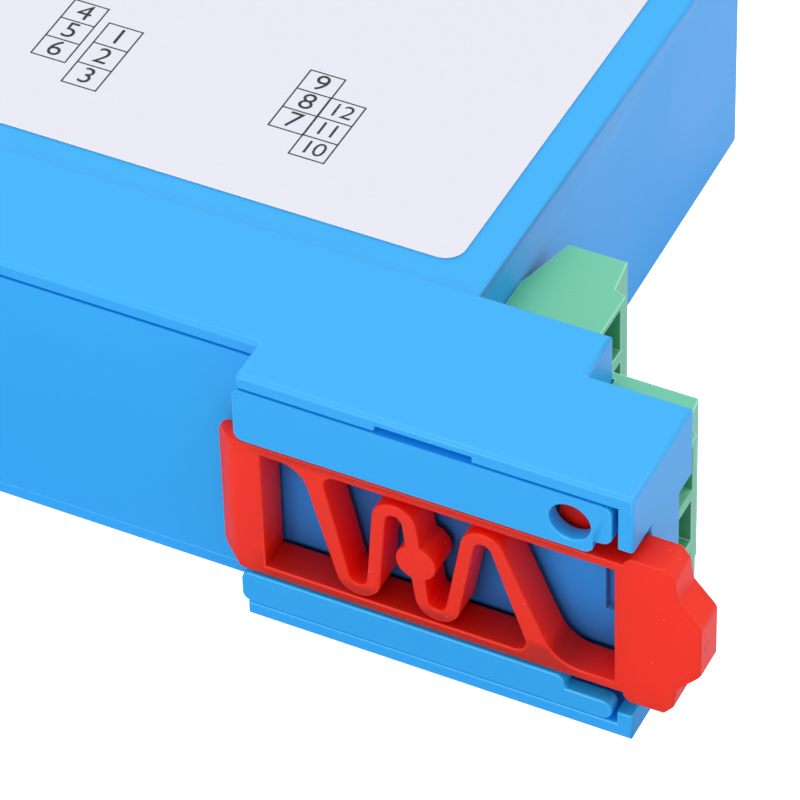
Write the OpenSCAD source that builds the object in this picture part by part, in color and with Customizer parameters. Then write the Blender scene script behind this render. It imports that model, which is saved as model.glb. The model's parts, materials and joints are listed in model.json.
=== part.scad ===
// Current transmitter in a clip-on rail housing, lying on its side.
// X runs across the rail, Y points away from the rail, Z is the thickness.
// The origin is the middle of the rail seat, at half the thickness.

/* [Case] */
// Length over both feet
case_l = 96.5; // [90:0.5:110]
// Thickness over the feet
case_t = 23.5; // [22.5:0.5:30]
// Depth from the rail seat to the front face
body_d = 57.2; // [55:0.1:80]
// Depth of the rail gap between the feet
recess_d = 3.4; // [3.2:0.1:5]
// Width of the rail gap between the feet
recess_l = 36.4; // [36.2:0.1:38]
// Height of the lower terminal step above the rail seat
lower_step_y = 6.65; // [5:0.05:8]
// Height of the upper terminal step above the rail seat
upper_step_y = 10.95; // [9:0.05:14]
// Length of the lower terminal step
lower_step_l = 7.95; // [7.95:0.05:10]
// Length of the upper terminal step
upper_step_l = 10.2; // [9:0.1:13]
// Set-back of the body's sides from the feet's sides
body_step = 0.3; // [0.1:0.1:1]
// Draft of the body's two large sides, in degrees
body_draft = 1.6; // [0.5:0.1:2.5]
// Radius of the upright corners at the steps
step_corner_r = 0.3; // [0.2:0.1:1]
// Radius of the upright corners at the front
front_corner_r = 1.2; // [0.5:0.1:3]
// Radius of the long edges that run away from the rail
long_edge_r = 0.4; // [0.3:0.1:1.2]
// Radius of the long edges that run along the rail gap and the steps
cross_edge_r = 0.4; // [0.2:0.1:0.8]
// Wall of the large sides
side_wall = 1.3; // [1:0.1:2]
// Wall of the ends, steps and front
end_wall = 1.2; // [0.9:0.1:1.8]
// Gap between mouldings that plug together
fit = 0.05; // [0.05:0.05:0.2]
// Extra gap above the foot, which rests on the case's lower side
foot_play = 0.1; // [0.05:0.05:0.2]

/* [Case openings] */
// Half height of the notch in front of the wire entries
notch_h = 5.55; // [4:0.05:7]
// Height of the notch's floor above the rail seat
notch_y = 4.45; // [3:0.05:5]
// Clearance of the clip handle in its slot
slot_gap = 0.65; // [0.3:0.05:1]
// Clearance behind the clip handle in its slot
slot_back_gap = 0.15; // [0.1:0.05:0.3]
// Length of the latch window in the lip
latch_l = 7.3; // [4:0.1:10]
// Height of the latch window
latch_h = 0.5; // [0.3:0.1:0.9]
// Depth of the latch window
latch_d = 1.6; // [0.8:0.1:2.5]
// Distance of the latch window from the case end
latch_x = 12.1; // [8:0.1:20]

/* [Rail foot] */
// Wall behind the rail
foot_wall = 1.2; // [0.9:0.1:1.6]
// Thickness of the guide strips in front of the clip
strip_t = 1.3; // [1:0.1:1.6]
// Thickness of the webs that carry the strips
strip_web = 1.2; // [0.8:0.1:1.6]
// How far the strips pass the foot's inner edge
strip_over = 0.4; // [0:0.1:1]
// Corner radius of the strips
strip_r = 0.8; // [0.3:0.1:1.2]
// Gap from the strips' outer end to the end wall
strip_end_gap = 0.4; // [0.2:0.1:1]
// Height of the relieved end of the lower strip
strip_relief_h = 1.15; // [0.5:0.05:1.6]
// Length of the relieved end of the lower strip
strip_relief_l = 3.6; // [2:0.1:6]
// Height of the step at the end of the upper strip
strip_tail_h = 1.3; // [0.8:0.1:2]
// Length of the step at the end of the upper strip
strip_tail_l = 1.4; // [0.8:0.1:2]
// Diameter of the round hole in the upper strip
strip_hole_d = 3.1; // [2:0.1:3.4]
// Height of the hole's middle above the strip's lower edge
strip_hole_up = 2.4; // [2.2:0.1:2.8]
// Distance of the hole's middle from the stop tab's middle
strip_hole_shift = 0.2; // [0:0.1:0.4]
// Reach of the fixed hook over the rail
hook_reach = 1.9; // [1:0.1:2.5]
// Height of the fixed hook
hook_h = 13; // [8:0.5:18]
// Thickness of the rail's flange
rail_t = 1; // [1:0.1:1.5]
// Clearance between the rail's flange and the hooks
rail_gap = 0.15; // [0.05:0.05:0.3]
// Spacing of the ribs inside the plain foot
rib_pitch = 6.6; // [5:0.1:9]
// Height of the recess in the wall at the end of the clip's window
wall_recess_h = 7.5; // [5:0.1:8]
// Length of the recess beside the clip's handle
wall_recess_l = 2.1; // [1:0.1:3]
// Depth of the recess
wall_recess_d = 0.5; // [0.3:0.05:0.7]
// Drop of the long slot in the wall below the edge of the clip's window
wall_slot_drop = 0.25; // [0.2:0.05:0.4]
// Height of the long slot
wall_slot_h = 0.5; // [0.3:0.05:0.6]

/* [Rail clip] */
// Height of the clip's frame
clip_h = 12.5; // [11:0.1:14]
// Offset of the clip's middle from the case's middle
clip_z = -1; // [-1.5:0.1:0]
// Thickness of the clip
clip_t = 2.85; // [2.6:0.05:2.9]
// Set-back of the clip's front from the strips' front
clip_sink = 0.1; // [0.05:0.05:0.2]
// Height of the frame's long bars
clip_bar = 0.8; // [0.6:0.1:1.2]
// Width of the frame's short bar
clip_end_bar = 2.1; // [1.5:0.1:3]
// How far the frame passes the foot's inner edge at rest
clip_inset = 0.55; // [0.3:0.05:1]
// Gap between the frame and the upper strip
clip_gap = 0.15; // [0.1:0.05:0.4]
// Gap between the clip's lugs and the strips' backs
lug_gap = 0.3; // [0.2:0.05:0.5]
// Height of the lugs that hold the clip behind the strips
lug_h = 1.4; // [0.8:0.1:1.6]
// Length of the lugs
lug_l = 15.6; // [10:0.2:18]
// Height of the stop tab seen through the round hole
tab_h = 3; // [2.4:0.1:3.2]
// Length of the stop tab
tab_l = 2.5; // [2:0.1:3]
// Travel of the clip
clip_travel = 2.2; // [1.5:0.1:3]
// Spare run between the stop tab and the case end
stop_gap = 0.3; // [0.1:0.1:0.5]
// Length of the hook that reaches over the rail
tip_l = 1.9; // [1.4:0.1:2.4]
// Thickness of the hook's blunt end
tip_t = 0.6; // [0.3:0.1:0.8]
// Corner radius of the hook
tip_r = 0.7; // [0.3:0.1:1]
// Material left between the rail's edge and the frame
tip_root = 0.3; // [0.2:0.05:0.5]
// Set-back of the hook's ends from the frame's long sides
tip_inset = 0.4; // [0.2:0.1:1]
// Corner radius of the frame
clip_corner_r = 0.4; // [0.2:0.1:0.8]

/* [Clip spring] */
// Width of the spring's strands
strand_w = 1.05; // [0.8:0.05:1.2]
// Radius of the bends along the strand's middle
bend_r = 1.2; // [1:0.05:1.4]
// Distance of the first bend from the frame's inner end
bend_first = 7.35; // [6:0.05:8]
// Distances from each bend to the next
bend_step_1 = 2.95; // [2.8:0.05:3.3]
// Second distance from bend to bend
bend_step_2 = 3.2; // [2.8:0.05:3.6]
// Third distance from bend to bend
bend_step_3 = 3.6; // [2.9:0.05:3.8]
// Gap under the lower bends
bend_gap_low = 0.25; // [0.15:0.05:0.6]
// Gap over the upper bends
bend_gap_high = 0.7; // [0.4:0.05:1]
// Distance from the first root to the first bend
root_run = 3.4; // [2.5:0.05:4]
// Distance from the last bend to the last root
tail_run = 4.5; // [3.5:0.05:5]
// How much the first strand widens towards the frame
root_widening = 0.45; // [0:0.05:0.6]
// How much the last strand widens towards the frame
tail_widening = 0.75; // [0:0.05:1]
// Diameter of the boss on the middle strand
boss_d = 3.1; // [2.4:0.1:3.4]
// Large fillet where the spring grows out of the top bar
root_fillet = 2.2; // [1:0.1:2.4]
// Large fillet where the spring grows out of the bottom bar
tail_fillet = 2.8; // [1:0.1:3]
// Small fillets at the spring's roots
small_fillet = 0.9; // [0.3:0.1:1]

/* [Clip handle] */
// How far the handle stands out of the case
handle_out = 5.05; // [4:0.05:7]
// Height of the handle
handle_h = 14; // [13:0.1:14.4]
// Width of the window's closed end before the case end
handle_root = 1.45; // [1.2:0.05:2.5]
// Distance of the handle's shoulder from the case end
shoulder_in = 0.8; // [0.5:0.05:1.1]
// Height of the handle's end face
nose_h = 4.3; // [3:0.1:6]
// Distance from the nose to the handle's neck
nose_l = 1.8; // [1:0.1:2.5]
// Height of the handle at its neck
neck_h = 8.6; // [7:0.1:10]
// Chamfer at the handle's foot
foot_chamfer = 0.5; // [0.3:0.1:0.8]
// Bevel of the handle's shoulder
shoulder_bevel = 0.9; // [0.5:0.1:1.2]
// Height of the small bevel at the nose
nose_bevel = 0.35; // [0.2:0.05:0.6]
// Lean of the neck's and the nose's flanks
nose_lean = 0.2; // [0.1:0.05:0.4]

/* [Terminals] */
// Distance from pole to pole
pitch = 5.08; // [5:0.02:5.08]
// Number of poles in a block
poles = 3; // [2:1:3]
// Width of a block
block_w = 7.45; // [7.2:0.05:7.5]
// Height of a block
block_h = 10.4; // [10:0.1:12]
// Gap between a lower block and the riser behind it
block_gap = 0.1; // [0.1:0.05:0.25]
// Height of the shelf that carries the upper blocks
shelf_h = 1; // [0.5:0.05:1.5]
// Flat top of a block
block_top_w = 4.6; // [3.8:0.1:5]
// Distance of the flat top from the block's back
block_top_x = 1.5; // [1:0.1:2]
// Drop from the top to the wire entry's ledge
ledge_drop = 2.9; // [2.5:0.1:3.3]
// Depth of the wire entry's ledge
ledge_w = 1; // [0.6:0.1:1.4]
// Fall of the ledge towards the face
ledge_fall = 0.5; // [0.3:0.05:0.6]
// Bevel at the ledge's outer edge
ledge_bevel = 0.15; // [0.1:0.05:0.25]
// Drop from the top to the shoulder on the block's back
back_drop = 4.2; // [3:0.1:5]
// Set-back of the shoulder
back_lean = 0.3; // [0.1:0.05:0.5]
// Height of the rounding under the shoulder
back_round = 1.2; // [0.6:0.1:2]
// Partition between two wire entries
divider_t = 1.1; // [0.9:0.05:1.5]
// Height of the wire entries' floor
entry_floor = 2.6; // [1.5:0.1:3]
// Height of a wire entry
entry_h = 3.65; // [3:0.05:3.8]
// Wall between a wire entry and the block's back
entry_back = 1.8; // [1.2:0.1:2.2]
// Diameter of the screw hole
screw_hole_d = 3.6; // [3.4:0.1:3.8]
// Diameter of the screw's head
screw_head_d = 3.3; // [2.8:0.1:3.3]
// Height of the screw's head
screw_head_h = 1.5; // [1:0.1:1.8]
// Depth of the screw's head below the block's top
screw_sink = 0.5; // [0.2:0.1:0.8]
// Diameter of the screw's thread
screw_d = 2.5; // [2:0.1:2.6]
// Width of the slot in the screw's head
screw_slot = 0.6; // [0.4:0.05:0.8]
// Width of the two probe slots beside each pole
probe_w = 0.8; // [0.5:0.05:1]
// Height of the probe slots
probe_h = 0.9; // [0.5:0.05:1.2]
// Depth of the probe slots
probe_d = 0.7; // [0.4:0.05:0.9]
// Height of the probe slots above the ledge
probe_up = 0.5; // [0.3:0.05:0.8]
// Height of the windows where the pins pass the risers
pin_window = 2.5; // [1.6:0.1:3]
// Diameter of the terminal pins
pin_d = 0.9; // [0.7:0.05:1]
// Sheet thickness of the clamp cages
cage_t = 0.6; // [0.4:0.05:0.7]
// Length of a clamp cage
cage_l = 3.7; // [3.7:0.1:4.2]

/* [Label] */
// Length of the label
label_l = 54.2; // [40:0.1:56]
// Distance of the label from the upper step
label_y = 2.5; // [1:0.05:5]
// Margin between the label and the front edge
label_margin = 3; // [2:0.1:6]
// Corner radius of the label
label_r = 1.6; // [0.5:0.1:3]
// Thickness of the label
label_t = 0.15; // [0.1:0.01:0.3]

/* [Boards] */
// Thickness of the main board
board_t = 1.6; // [1:0.1:2]
// Height of the main board's underside above the case's lower side
board_up = 3.75; // [3.55:0.1:4.15]
// Gap between the boards and the walls
board_gap = 0.35; // [0.2:0.05:0.6]
// Width of the ledges that carry the main board
ledge_rail_w = 1.3; // [0.8:0.1:1.8]
// Thickness of the terminal boards
terminal_board_t = 1; // [0.8:0.1:1.6]
// Length of a terminal board
terminal_board_l = 6.4; // [5:0.1:7]
// Gap between a terminal board's upper edge and the end of its block
terminal_board_gap = 0.6; // [0.3:0.1:1]
// How far the pins pass the terminal boards
pin_tail = 1; // [0.5:0.1:1.5]

/* [Parts on the main board] */
// Gap between neighbouring parts
part_gap = 2; // [1:0.1:3]
// Margin between the parts and the board's edges
part_margin = 2; // [1:0.1:3]
// Length and width of the input transformer's case
sensor_l = 20; // [16:0.5:22]
// Height of the input transformer's case
sensor_h = 11; // [8:0.5:13]
// Depth of the round recess in the input transformer's top
sensor_recess = 1; // [0.5:0.1:2]
// Length of the supply transformer's core
core_l = 16; // [12:0.5:18]
// Width of the supply transformer's core
core_w = 5; // [4:0.5:7]
// Height of the supply transformer's core
core_h = 12.5; // [10:0.5:14]
// Width of the core's yokes
core_limb = 3.2; // [2.6:0.1:3.6]
// Length of the supply transformer's coil
coil_l = 12; // [9:0.5:14]
// Diameter of the large capacitors
can_d = 8; // [6.3:0.1:9]
// Height of the large capacitors
can_h = 11.5; // [8:0.5:13]
// Height of the groove round the large capacitors above their foot
can_groove_up = 1; // [0.6:0.1:2]
// Depth of the groove round the large capacitors
can_groove = 0.3; // [0.2:0.05:0.5]
// Edge radius of the large capacitors
can_edge = 0.4; // [0.2:0.1:0.8]
// Length of a trimmer
trimmer_l = 9.5; // [7:0.5:10]
// Width of a trimmer
trimmer_w = 4.8; // [4:0.1:5]
// Height of a trimmer
trimmer_h = 10; // [7:0.5:12]
// Diameter of a trimmer's screw
trimmer_screw_d = 2.2; // [1.8:0.1:2.6]
// Height of a trimmer's screw
trimmer_screw_h = 0.8; // [0.5:0.1:1.2]
// Body length of a small chip
chip_l = 5; // [4:0.1:6]
// Body width of a small chip
chip_w = 4; // [3:0.1:5]
// Body height of a small chip
chip_h = 1.6; // [1:0.1:2]
// Width of the flat leads
leg_w = 0.4; // [0.3:0.05:0.6]
// Thickness of the flat leads
leg_t = 0.2; // [0.1:0.05:0.3]
// Reach of the flat leads beside a body
leg_out = 1; // [0.6:0.1:1.2]
// Body length of an isolating coupler
coupler_l = 9.6; // [7:0.1:10]
// Body width of an isolating coupler
coupler_w = 6.4; // [5:0.1:7]
// Body height of an isolating coupler
coupler_h = 3.4; // [2:0.1:4]
// Body length of the voltage regulator
regulator_l = 6.6; // [5:0.1:7]
// Body width of the voltage regulator
regulator_w = 6.2; // [5:0.1:6.5]
// Body height of the voltage regulator
regulator_h = 2.4; // [1.8:0.1:2.8]
// Length of the film capacitor
film_l = 13; // [10:0.5:14]
// Width of the film capacitor
film_w = 5; // [4:0.5:6]
// Height of the film capacitor
film_h = 9; // [6:0.5:12]
// Length of the measuring resistor's body
shunt_l = 11; // [8:0.5:12]
// Diameter of the measuring resistor's body
shunt_d = 4.5; // [3:0.1:5]
// Length of a diode's body
diode_l = 5.2; // [4:0.1:6]
// Diameter of a diode's body
diode_d = 2.7; // [2:0.1:3]
// Diameter of the wire leads
lead_d = 0.8; // [0.6:0.05:1]
// Run of a wire lead before it bends down
lead_run = 1.5; // [1:0.1:2]

/* [Hidden] */
$fn = 48;

case_blue = "#48a8f4";
clip_red = "#e8362e";
block_green = "#78cca8";
board_green = "#1f6b45";
metal_grey = "#c8ccd0";
chip_black = "#26262a";

// Half sizes of the case and of its hollow
half_l = case_l / 2;
half_t = case_t / 2;
hollow_z = half_t - side_wall;
hollow_x = half_l - end_wall;
mid_half_l = half_l - lower_step_l;
body_half_l = mid_half_l - upper_step_l;
body_inner_x = body_half_l - end_wall;
body_z = half_t - body_step;
foot_x = recess_l / 2;
overcut = 1;

// The foot plugs into the shell with the fit all round and its play above
insert_x = hollow_x - fit;
insert_top = hollow_z - fit - foot_play;
insert_low = -hollow_z + fit;

// The clip lies in front of the foot's wall
clip_front = -recess_d + clip_sink;
clip_back = clip_front + clip_t;
clip_top = clip_z + clip_h / 2;
clip_low = clip_z - clip_h / 2;
clip_inner_x = foot_x - clip_inset;
window_top = clip_top - clip_bar;
window_low = clip_low + clip_bar;
window_x0 = clip_inner_x + clip_end_bar;
window_x1 = half_l - handle_root;
lug_front = -recess_d + strip_t + lug_gap;
tab_x = hollow_x - clip_travel - tab_l - stop_gap;
strip_low_z = clip_top + clip_gap;
lower_strip_z = clip_low - 2 * clip_gap;
strip_inner_x = foot_x - strip_over;
strip_outer_x = hollow_x - strip_end_gap;
tip_under = -rail_t - rail_gap;

// Bends of the spring, as places along X and Z
bend_z_low = window_low + bend_gap_low + strand_w / 2 + bend_r;
bend_z_high = window_top - bend_gap_high - strand_w / 2 - bend_r;
bend_x1 = window_x0 + bend_first;
bend_x2 = bend_x1 + bend_step_1;
bend_x3 = bend_x2 + bend_step_2;
bend_x4 = bend_x3 + bend_step_3;
bends = [[bend_x1, bend_z_low], [bend_x2, bend_z_high], [bend_x3, bend_z_low], [bend_x4, bend_z_high]];
spring_root = [bend_x1 - root_run, window_top];
spring_tail = [bend_x4 + tail_run, window_low];
bend_steps = 24;

// Terminal blocks stand against the risers of the two steps
block_l = poles * pitch;
block_half_z = block_l / 2;
lower_block_x = mid_half_l + block_gap;
upper_block_x = body_half_l + fit;
lower_block_y = foot_wall;
upper_block_y = upper_step_y + shelf_h;
pocket_x = lower_block_x + block_w + fit;
pocket_z = block_half_z + fit;
entry_w = pitch - divider_t;
screw_x = block_top_x + block_top_w / 2;
cage_h = entry_h - 2 * fit;
pin_y = entry_floor + cage_h / 2;
riser_gap = 0.5;
pin_hole_d = pin_d + fit;

// Boards
board_z = board_up - half_t;
board_top = board_z + board_t;
board_x = body_inner_x - board_gap;
board_y0 = foot_wall + board_gap;
board_y1 = body_d - end_wall - board_gap;
board_ear_x = mid_half_l - end_wall - board_gap;
board_ear_y = upper_step_y - end_wall - board_gap;
terminal_board_top = block_half_z - terminal_board_gap;

// Middles of the parts on the main board, in three columns from the front edge back
column_x = board_x - part_margin - regulator_w;
sensor_at = [part_margin + sensor_l / 2 - board_x, board_y1 - part_margin - sensor_l / 2];
sensor_low = sensor_at[1] - sensor_l / 2;
can_at = [sensor_at[0] - can_d / 2 - part_gap / 2, sensor_low - part_gap - can_d / 2];
can_step = can_d + part_gap;
shunt_at = [-trimmer_l - 1.5 * part_gap - shunt_l / 2 - lead_run, board_y0 + part_margin + shunt_d];
supply_at = [column_x - part_gap, board_y1 - part_margin - coil_l / 2];
film_at = [supply_at[0], supply_at[1] - coil_l / 2 - part_gap - film_w / 2];
regulator_at = [supply_at[0], film_at[1] - film_w / 2 - part_gap - leg_out - regulator_w / 2];
diode_at = [column_x, board_y0 + part_margin / 2 + diode_d / 2];
diode_step = diode_d + part_gap / 4;
trimmer_at = [(trimmer_l + part_gap) / 2, board_y0 + part_margin + trimmer_w / 2];
amplifier_at = [-chip_l, trimmer_at[1] + trimmer_w / 2 + leg_out + chip_w];
amplifier_step = 2 * chip_l;
coupler_at = [0, amplifier_at[1] + (chip_w + coupler_w) / 2 + 2 * leg_out + part_gap];
coupler_step = coupler_w + 2 * leg_out + part_gap;

// Direction of an angle, as a flat vector
function dir(a) = [cos(a), sin(a)];
function span(p, q) = norm(q - p);
function heading(p, q) = atan2(q[1] - p[1], q[0] - p[0]);

// Height of the body's side at a depth, with the draft counted from the upper step
function side_z(y) = body_z - (y - upper_step_y) * tan(body_draft);

// A strand leaves one bend and meets the next on the other side of it.
// rise is 1 where it climbs and -1 where it falls, reach is the sum of the radii.
function strand_angle(p, q, rise, reach) = heading(p, q) + rise * asin(reach / span(p, q));

module rounded_rect(x0, y0, x1, y1, r) {
    translate([x0 + r, y0])
        square([x1 - x0 - 2 * r, y1 - y0]);
    translate([x0, y0 + r])
        square([x1 - x0, y1 - y0 - 2 * r]);
    for (x = [x0 + r, x1 - r], y = [y0 + r, y1 - r])
        translate([x, y])
            circle(r);
}

module box(low, high) {
    translate(low)
        cube(high - low);
}

// Stands a flat outline in X and Z upright, from y_back towards the rail
module upright(y_back, thickness) {
    translate([0, y_back, 0])
        rotate([90, 0, 0])
            linear_extrude(thickness)
                children();
}

module both_ends() {
    children();
    mirror([1, 0, 0])
        children();
}

// One step of the housing from x0 to x1, with round edges all about
module step_block(x0, x1, near, depth) {
    intersection() {
        translate([0, 0, -half_t])
            linear_extrude(case_t)
                rounded_rect(x0, near, x1, depth, step_corner_r);
        upright(depth, depth - near)
            rounded_rect(x0, -half_t, x1, half_t, long_edge_r);
        translate([x0, 0, 0])
            rotate([90, 0, 90])
                linear_extrude(x1 - x0)
                    rounded_rect(near, -half_t, depth, half_t, cross_edge_r);
    }
}

// Upper half of the tapered body: a round-edged bar tipped by the draft
module body_half() {
    intersection() {
        translate([0, upper_step_y, body_z])
            rotate([-body_draft, 0, 0])
                upright(body_d, body_d + recess_d + upper_step_y)
                    rounded_rect(-body_half_l, -case_t, body_half_l, 0, long_edge_r);
        linear_extrude(case_t)
            rounded_rect(-body_half_l, upper_step_y - 2 * front_corner_r, body_half_l, body_d,
                front_corner_r);
    }
}

module body_hollow() {
    inner_y = body_d - end_wall;
    rotate([90, 0, 90])
        translate([0, 0, -body_inner_x])
            linear_extrude(2 * body_inner_x)
                polygon([
                    [foot_wall, -hollow_z + body_step], [upper_step_y, -side_z(upper_step_y) + side_wall],
                    [inner_y, -side_z(inner_y) + side_wall], [inner_y, side_z(inner_y) - side_wall],
                    [upper_step_y, side_z(upper_step_y) - side_wall], [foot_wall, hollow_z - body_step]]);
}

// Hollow for the foot, the space under the upper step and the lower block's pocket
module shell_hollow() {
    box([-hollow_x, -recess_d - overcut, -hollow_z], [hollow_x, foot_wall, hollow_z]);
    box([-mid_half_l + end_wall, 0, -hollow_z],
        [mid_half_l - end_wall, upper_step_y - end_wall, hollow_z]);
    body_hollow();
    both_ends()
        box([mid_half_l, 0, -pocket_z], [pocket_x, lower_step_y + overcut, pocket_z]);
}

// Openings in the risers where the terminal pins pass
module pin_windows() {
    half_h = block_half_z - pitch / 2 + pin_window / 2;
    for (place = [[mid_half_l, lower_block_y], [body_half_l, upper_block_y]])
        box([place[0] - end_wall - overcut, place[1] + pin_y - pin_window / 2, -half_h],
            [place[0] + overcut, place[1] + pin_y + pin_window / 2, half_h]);
}

module board_ledges() {
    both_ends()
        box([body_inner_x - ledge_rail_w, upper_step_y, -hollow_z],
            [body_inner_x + end_wall / 2, body_d - end_wall / 2, board_z]);
}

module housing_shell() {
    clip_slot_low = clip_z - handle_h / 2 - 2 * slot_gap;
    clip_slot_top = clip_z + handle_h / 2 + slot_gap;
    color(case_blue) {
        difference() {
            union() {
                both_ends()
                    step_block(foot_x, half_l, -recess_d, lower_step_y);
                step_block(-mid_half_l, mid_half_l, 0, upper_step_y);
                body_half();
                mirror([0, 0, 1])
                    body_half();
            }
            shell_hollow();
            both_ends() {
                pin_windows();
                box([half_l - end_wall - overcut, notch_y, -notch_h],
                    [half_l + overcut, lower_step_y + overcut, notch_h]);
            }
            box([hollow_x - overcut, -recess_d - overcut, clip_slot_low],
                [half_l + overcut, clip_back + slot_back_gap, clip_slot_top]);
            box([half_l - latch_x - latch_l, -recess_d - overcut, hollow_z - overcut],
                [half_l - latch_x, -recess_d + latch_d, hollow_z + latch_h]);
        }
        intersection() {
            board_ledges();
            union() {
                body_half();
                mirror([0, 0, 1])
                    body_half();
            }
        }
    }
}

// Guide strip over the clip: a long flat bar with a stepped outer end and a round hole
module upper_strip_outline() {
    difference() {
        union() {
            rounded_rect(strip_inner_x, strip_low_z, strip_outer_x - strip_tail_l,
                insert_top, strip_r);
            rounded_rect(foot_x, strip_low_z + strip_tail_h, strip_outer_x, insert_top, strip_r);
            translate([foot_x, insert_top - strip_web])
                square([strip_outer_x - strip_tail_l - foot_x, strip_web]);
        }
        translate([tab_x + tab_l / 2 + strip_hole_shift, strip_low_z + strip_hole_up])
            circle(d = strip_hole_d);
    }
}

module lower_strip_outline() {
    rounded_rect(strip_inner_x, insert_low, strip_outer_x - strip_relief_l, lower_strip_z, strip_r);
    rounded_rect(foot_x, insert_low, strip_outer_x, lower_strip_z - strip_relief_h, strip_r);
}

module clip_channel() {
    upright(-recess_d + strip_t, strip_t) {
        upper_strip_outline();
        lower_strip_outline();
    }
    box([foot_x, -recess_d + strip_t / 2, insert_top - strip_web],
        [strip_outer_x - strip_tail_l, foot_wall, insert_top]);
    box([foot_x, -recess_d + strip_t / 2, insert_low],
        [strip_outer_x - strip_relief_l, foot_wall, insert_low + strip_web]);
    box([foot_x, -recess_d + strip_t / 2, strip_low_z + strip_r],
        [foot_x + strip_web, foot_wall, insert_top]);
}

// The foot without a clip: a plain cup with ribs and the fixed hook
module hook_foot() {
    difference() {
        box([-insert_x, -recess_d, insert_low], [-foot_x, foot_wall, insert_top]);
        box([-insert_x + strip_web, -recess_d + strip_t, insert_low + strip_web],
            [-foot_x - strip_web, foot_wall + overcut, insert_top - strip_web]);
    }
    for (x = [-foot_x - rib_pitch : -rib_pitch : -insert_x + strip_web])
        box([x, -recess_d + strip_t / 2, insert_low + strip_web / 2],
            [x + strip_web, foot_wall, insert_top - strip_web / 2]);
    translate([0, 0, -hook_h / 2])
        linear_extrude(hook_h)
            polygon([
                [-foot_x - strip_web / 2, -recess_d], [-foot_x, -recess_d],
                [-foot_x + hook_reach, tip_under - tip_t], [-foot_x + hook_reach, tip_under],
                [-foot_x - strip_web / 2, tip_under]]);
}

// Wall behind the rail, with a shallow recess and a long slot behind the clip's window
module seat_wall() {
    slot_top = window_low - wall_slot_drop;
    difference() {
        box([-foot_x - strip_web, 0, insert_low], [insert_x, foot_wall, insert_top]);
        box([window_x0 - clip_end_bar / 2, -overcut, slot_top - wall_slot_h],
            [window_x1, foot_wall + overcut, slot_top]);
        box([window_x1 - wall_recess_l, -overcut, window_top - wall_recess_h],
            [window_x1 + overcut / 2, wall_recess_d, window_top - clip_gap]);
    }
}

module rail_foot() {
    color(case_blue) {
        seat_wall();
        clip_channel();
        hook_foot();
    }
}

// Points of an arc about c, swept from angle a to angle b
function arc(c, r, a, b) = [for (i = [0 : bend_steps]) c + r * dir(a + (b - a) * i / bend_steps)];

// Headings of the five strands, each a tangent of the bends at its ends
spring_a1 = strand_angle(spring_root, bends[0], -1, bend_r);
spring_a2 = strand_angle(bends[0], bends[1], 1, 2 * bend_r);
spring_a3 = strand_angle(bends[1], bends[2], -1, 2 * bend_r);
spring_a4 = strand_angle(bends[2], bends[3], 1, 2 * bend_r);
spring_a5 = strand_angle(bends[3], spring_tail, -1, bend_r);

// Angle by which each edge of the outer strands leans away from the strand's middle
function widening_lean(p, q, widening) = atan(widening / 2 / sqrt(span(p, q) ^ 2 - bend_r ^ 2));
root_lean = widening_lean(spring_root, bends[0], root_widening);
tail_lean = widening_lean(bends[3], spring_tail, tail_widening);

// Where the spring's edges meet the frame's bars
function at_height(p, a, z) = p + (z - p[1]) / sin(a) * dir(a);
function root_corner(side) = at_height(
    spring_root + side * (strand_w + root_widening) / 2 * dir(spring_a1 + 90),
    spring_a1 - side * root_lean, window_top);
function tail_corner(side) = at_height(
    spring_tail + side * (strand_w + tail_widening) / 2 * dir(spring_a5 + 90),
    spring_a5 + side * tail_lean, window_low);

// One edge of the spring, from the root to the tail: side is 1 for the left edge and -1 for the right.
// The lower bends turn left about their middles and the upper ones turn right.
function spring_edge(side) =
    let (low_r = bend_r - side * strand_w / 2, high_r = bend_r + side * strand_w / 2)
    concat(
        [root_corner(side) - clip_bar / 2 * dir(spring_a1 - side * root_lean)],
        arc(bends[0], low_r, spring_a1 - 90, spring_a2 - 90),
        arc(bends[1], high_r, spring_a2 + 90, spring_a3 + 90),
        arc(bends[2], low_r, spring_a3 - 90, spring_a4 - 90),
        arc(bends[3], high_r, spring_a4 + 90, spring_a5 + 90),
        [tail_corner(side) + clip_bar / 2 * dir(spring_a5 + side * tail_lean)]);

// Fillet in the corner between two edges that leave it at the angles a and b
module fillet(corner, a, b, r) {
    half = abs(b - a) / 2;
    run = r / tan(half);
    inwards = dir((a + b) / 2);
    centre = corner + r / sin(half) * inwards;
    difference() {
        polygon([corner - clip_bar / 3 * inwards, corner + run * dir(a), centre, corner + run * dir(b)]);
        translate(centre)
            circle(r);
    }
}

module spring_outline() {
    right = spring_edge(-1);
    polygon(concat(spring_edge(1), [for (i = [len(right) - 1 : -1 : 0]) right[i]]));
    translate((bends[1] + bends[2]) / 2)
        circle(d = boss_d);
    fillet(root_corner(-1), 180, spring_a1 + root_lean + 360, root_fillet);
    fillet(root_corner(1), 360, spring_a1 - root_lean + 360, small_fillet);
    fillet(tail_corner(1), 0, spring_a5 + tail_lean + 180, tail_fillet);
    fillet(tail_corner(-1), 180, spring_a5 - tail_lean + 180, small_fillet);
}

module clip_frame_outline() {
    difference() {
        union() {
            rounded_rect(clip_inner_x, clip_low, half_l, clip_top, clip_corner_r);
            rounded_rect(clip_inner_x - tip_l, clip_low + tip_inset,
                clip_inner_x + clip_end_bar / 2, clip_top - tip_inset, tip_r);
        }
        translate([window_x0, window_low])
            square([window_x1 - window_x0, window_top - window_low]);
    }
}

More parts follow.
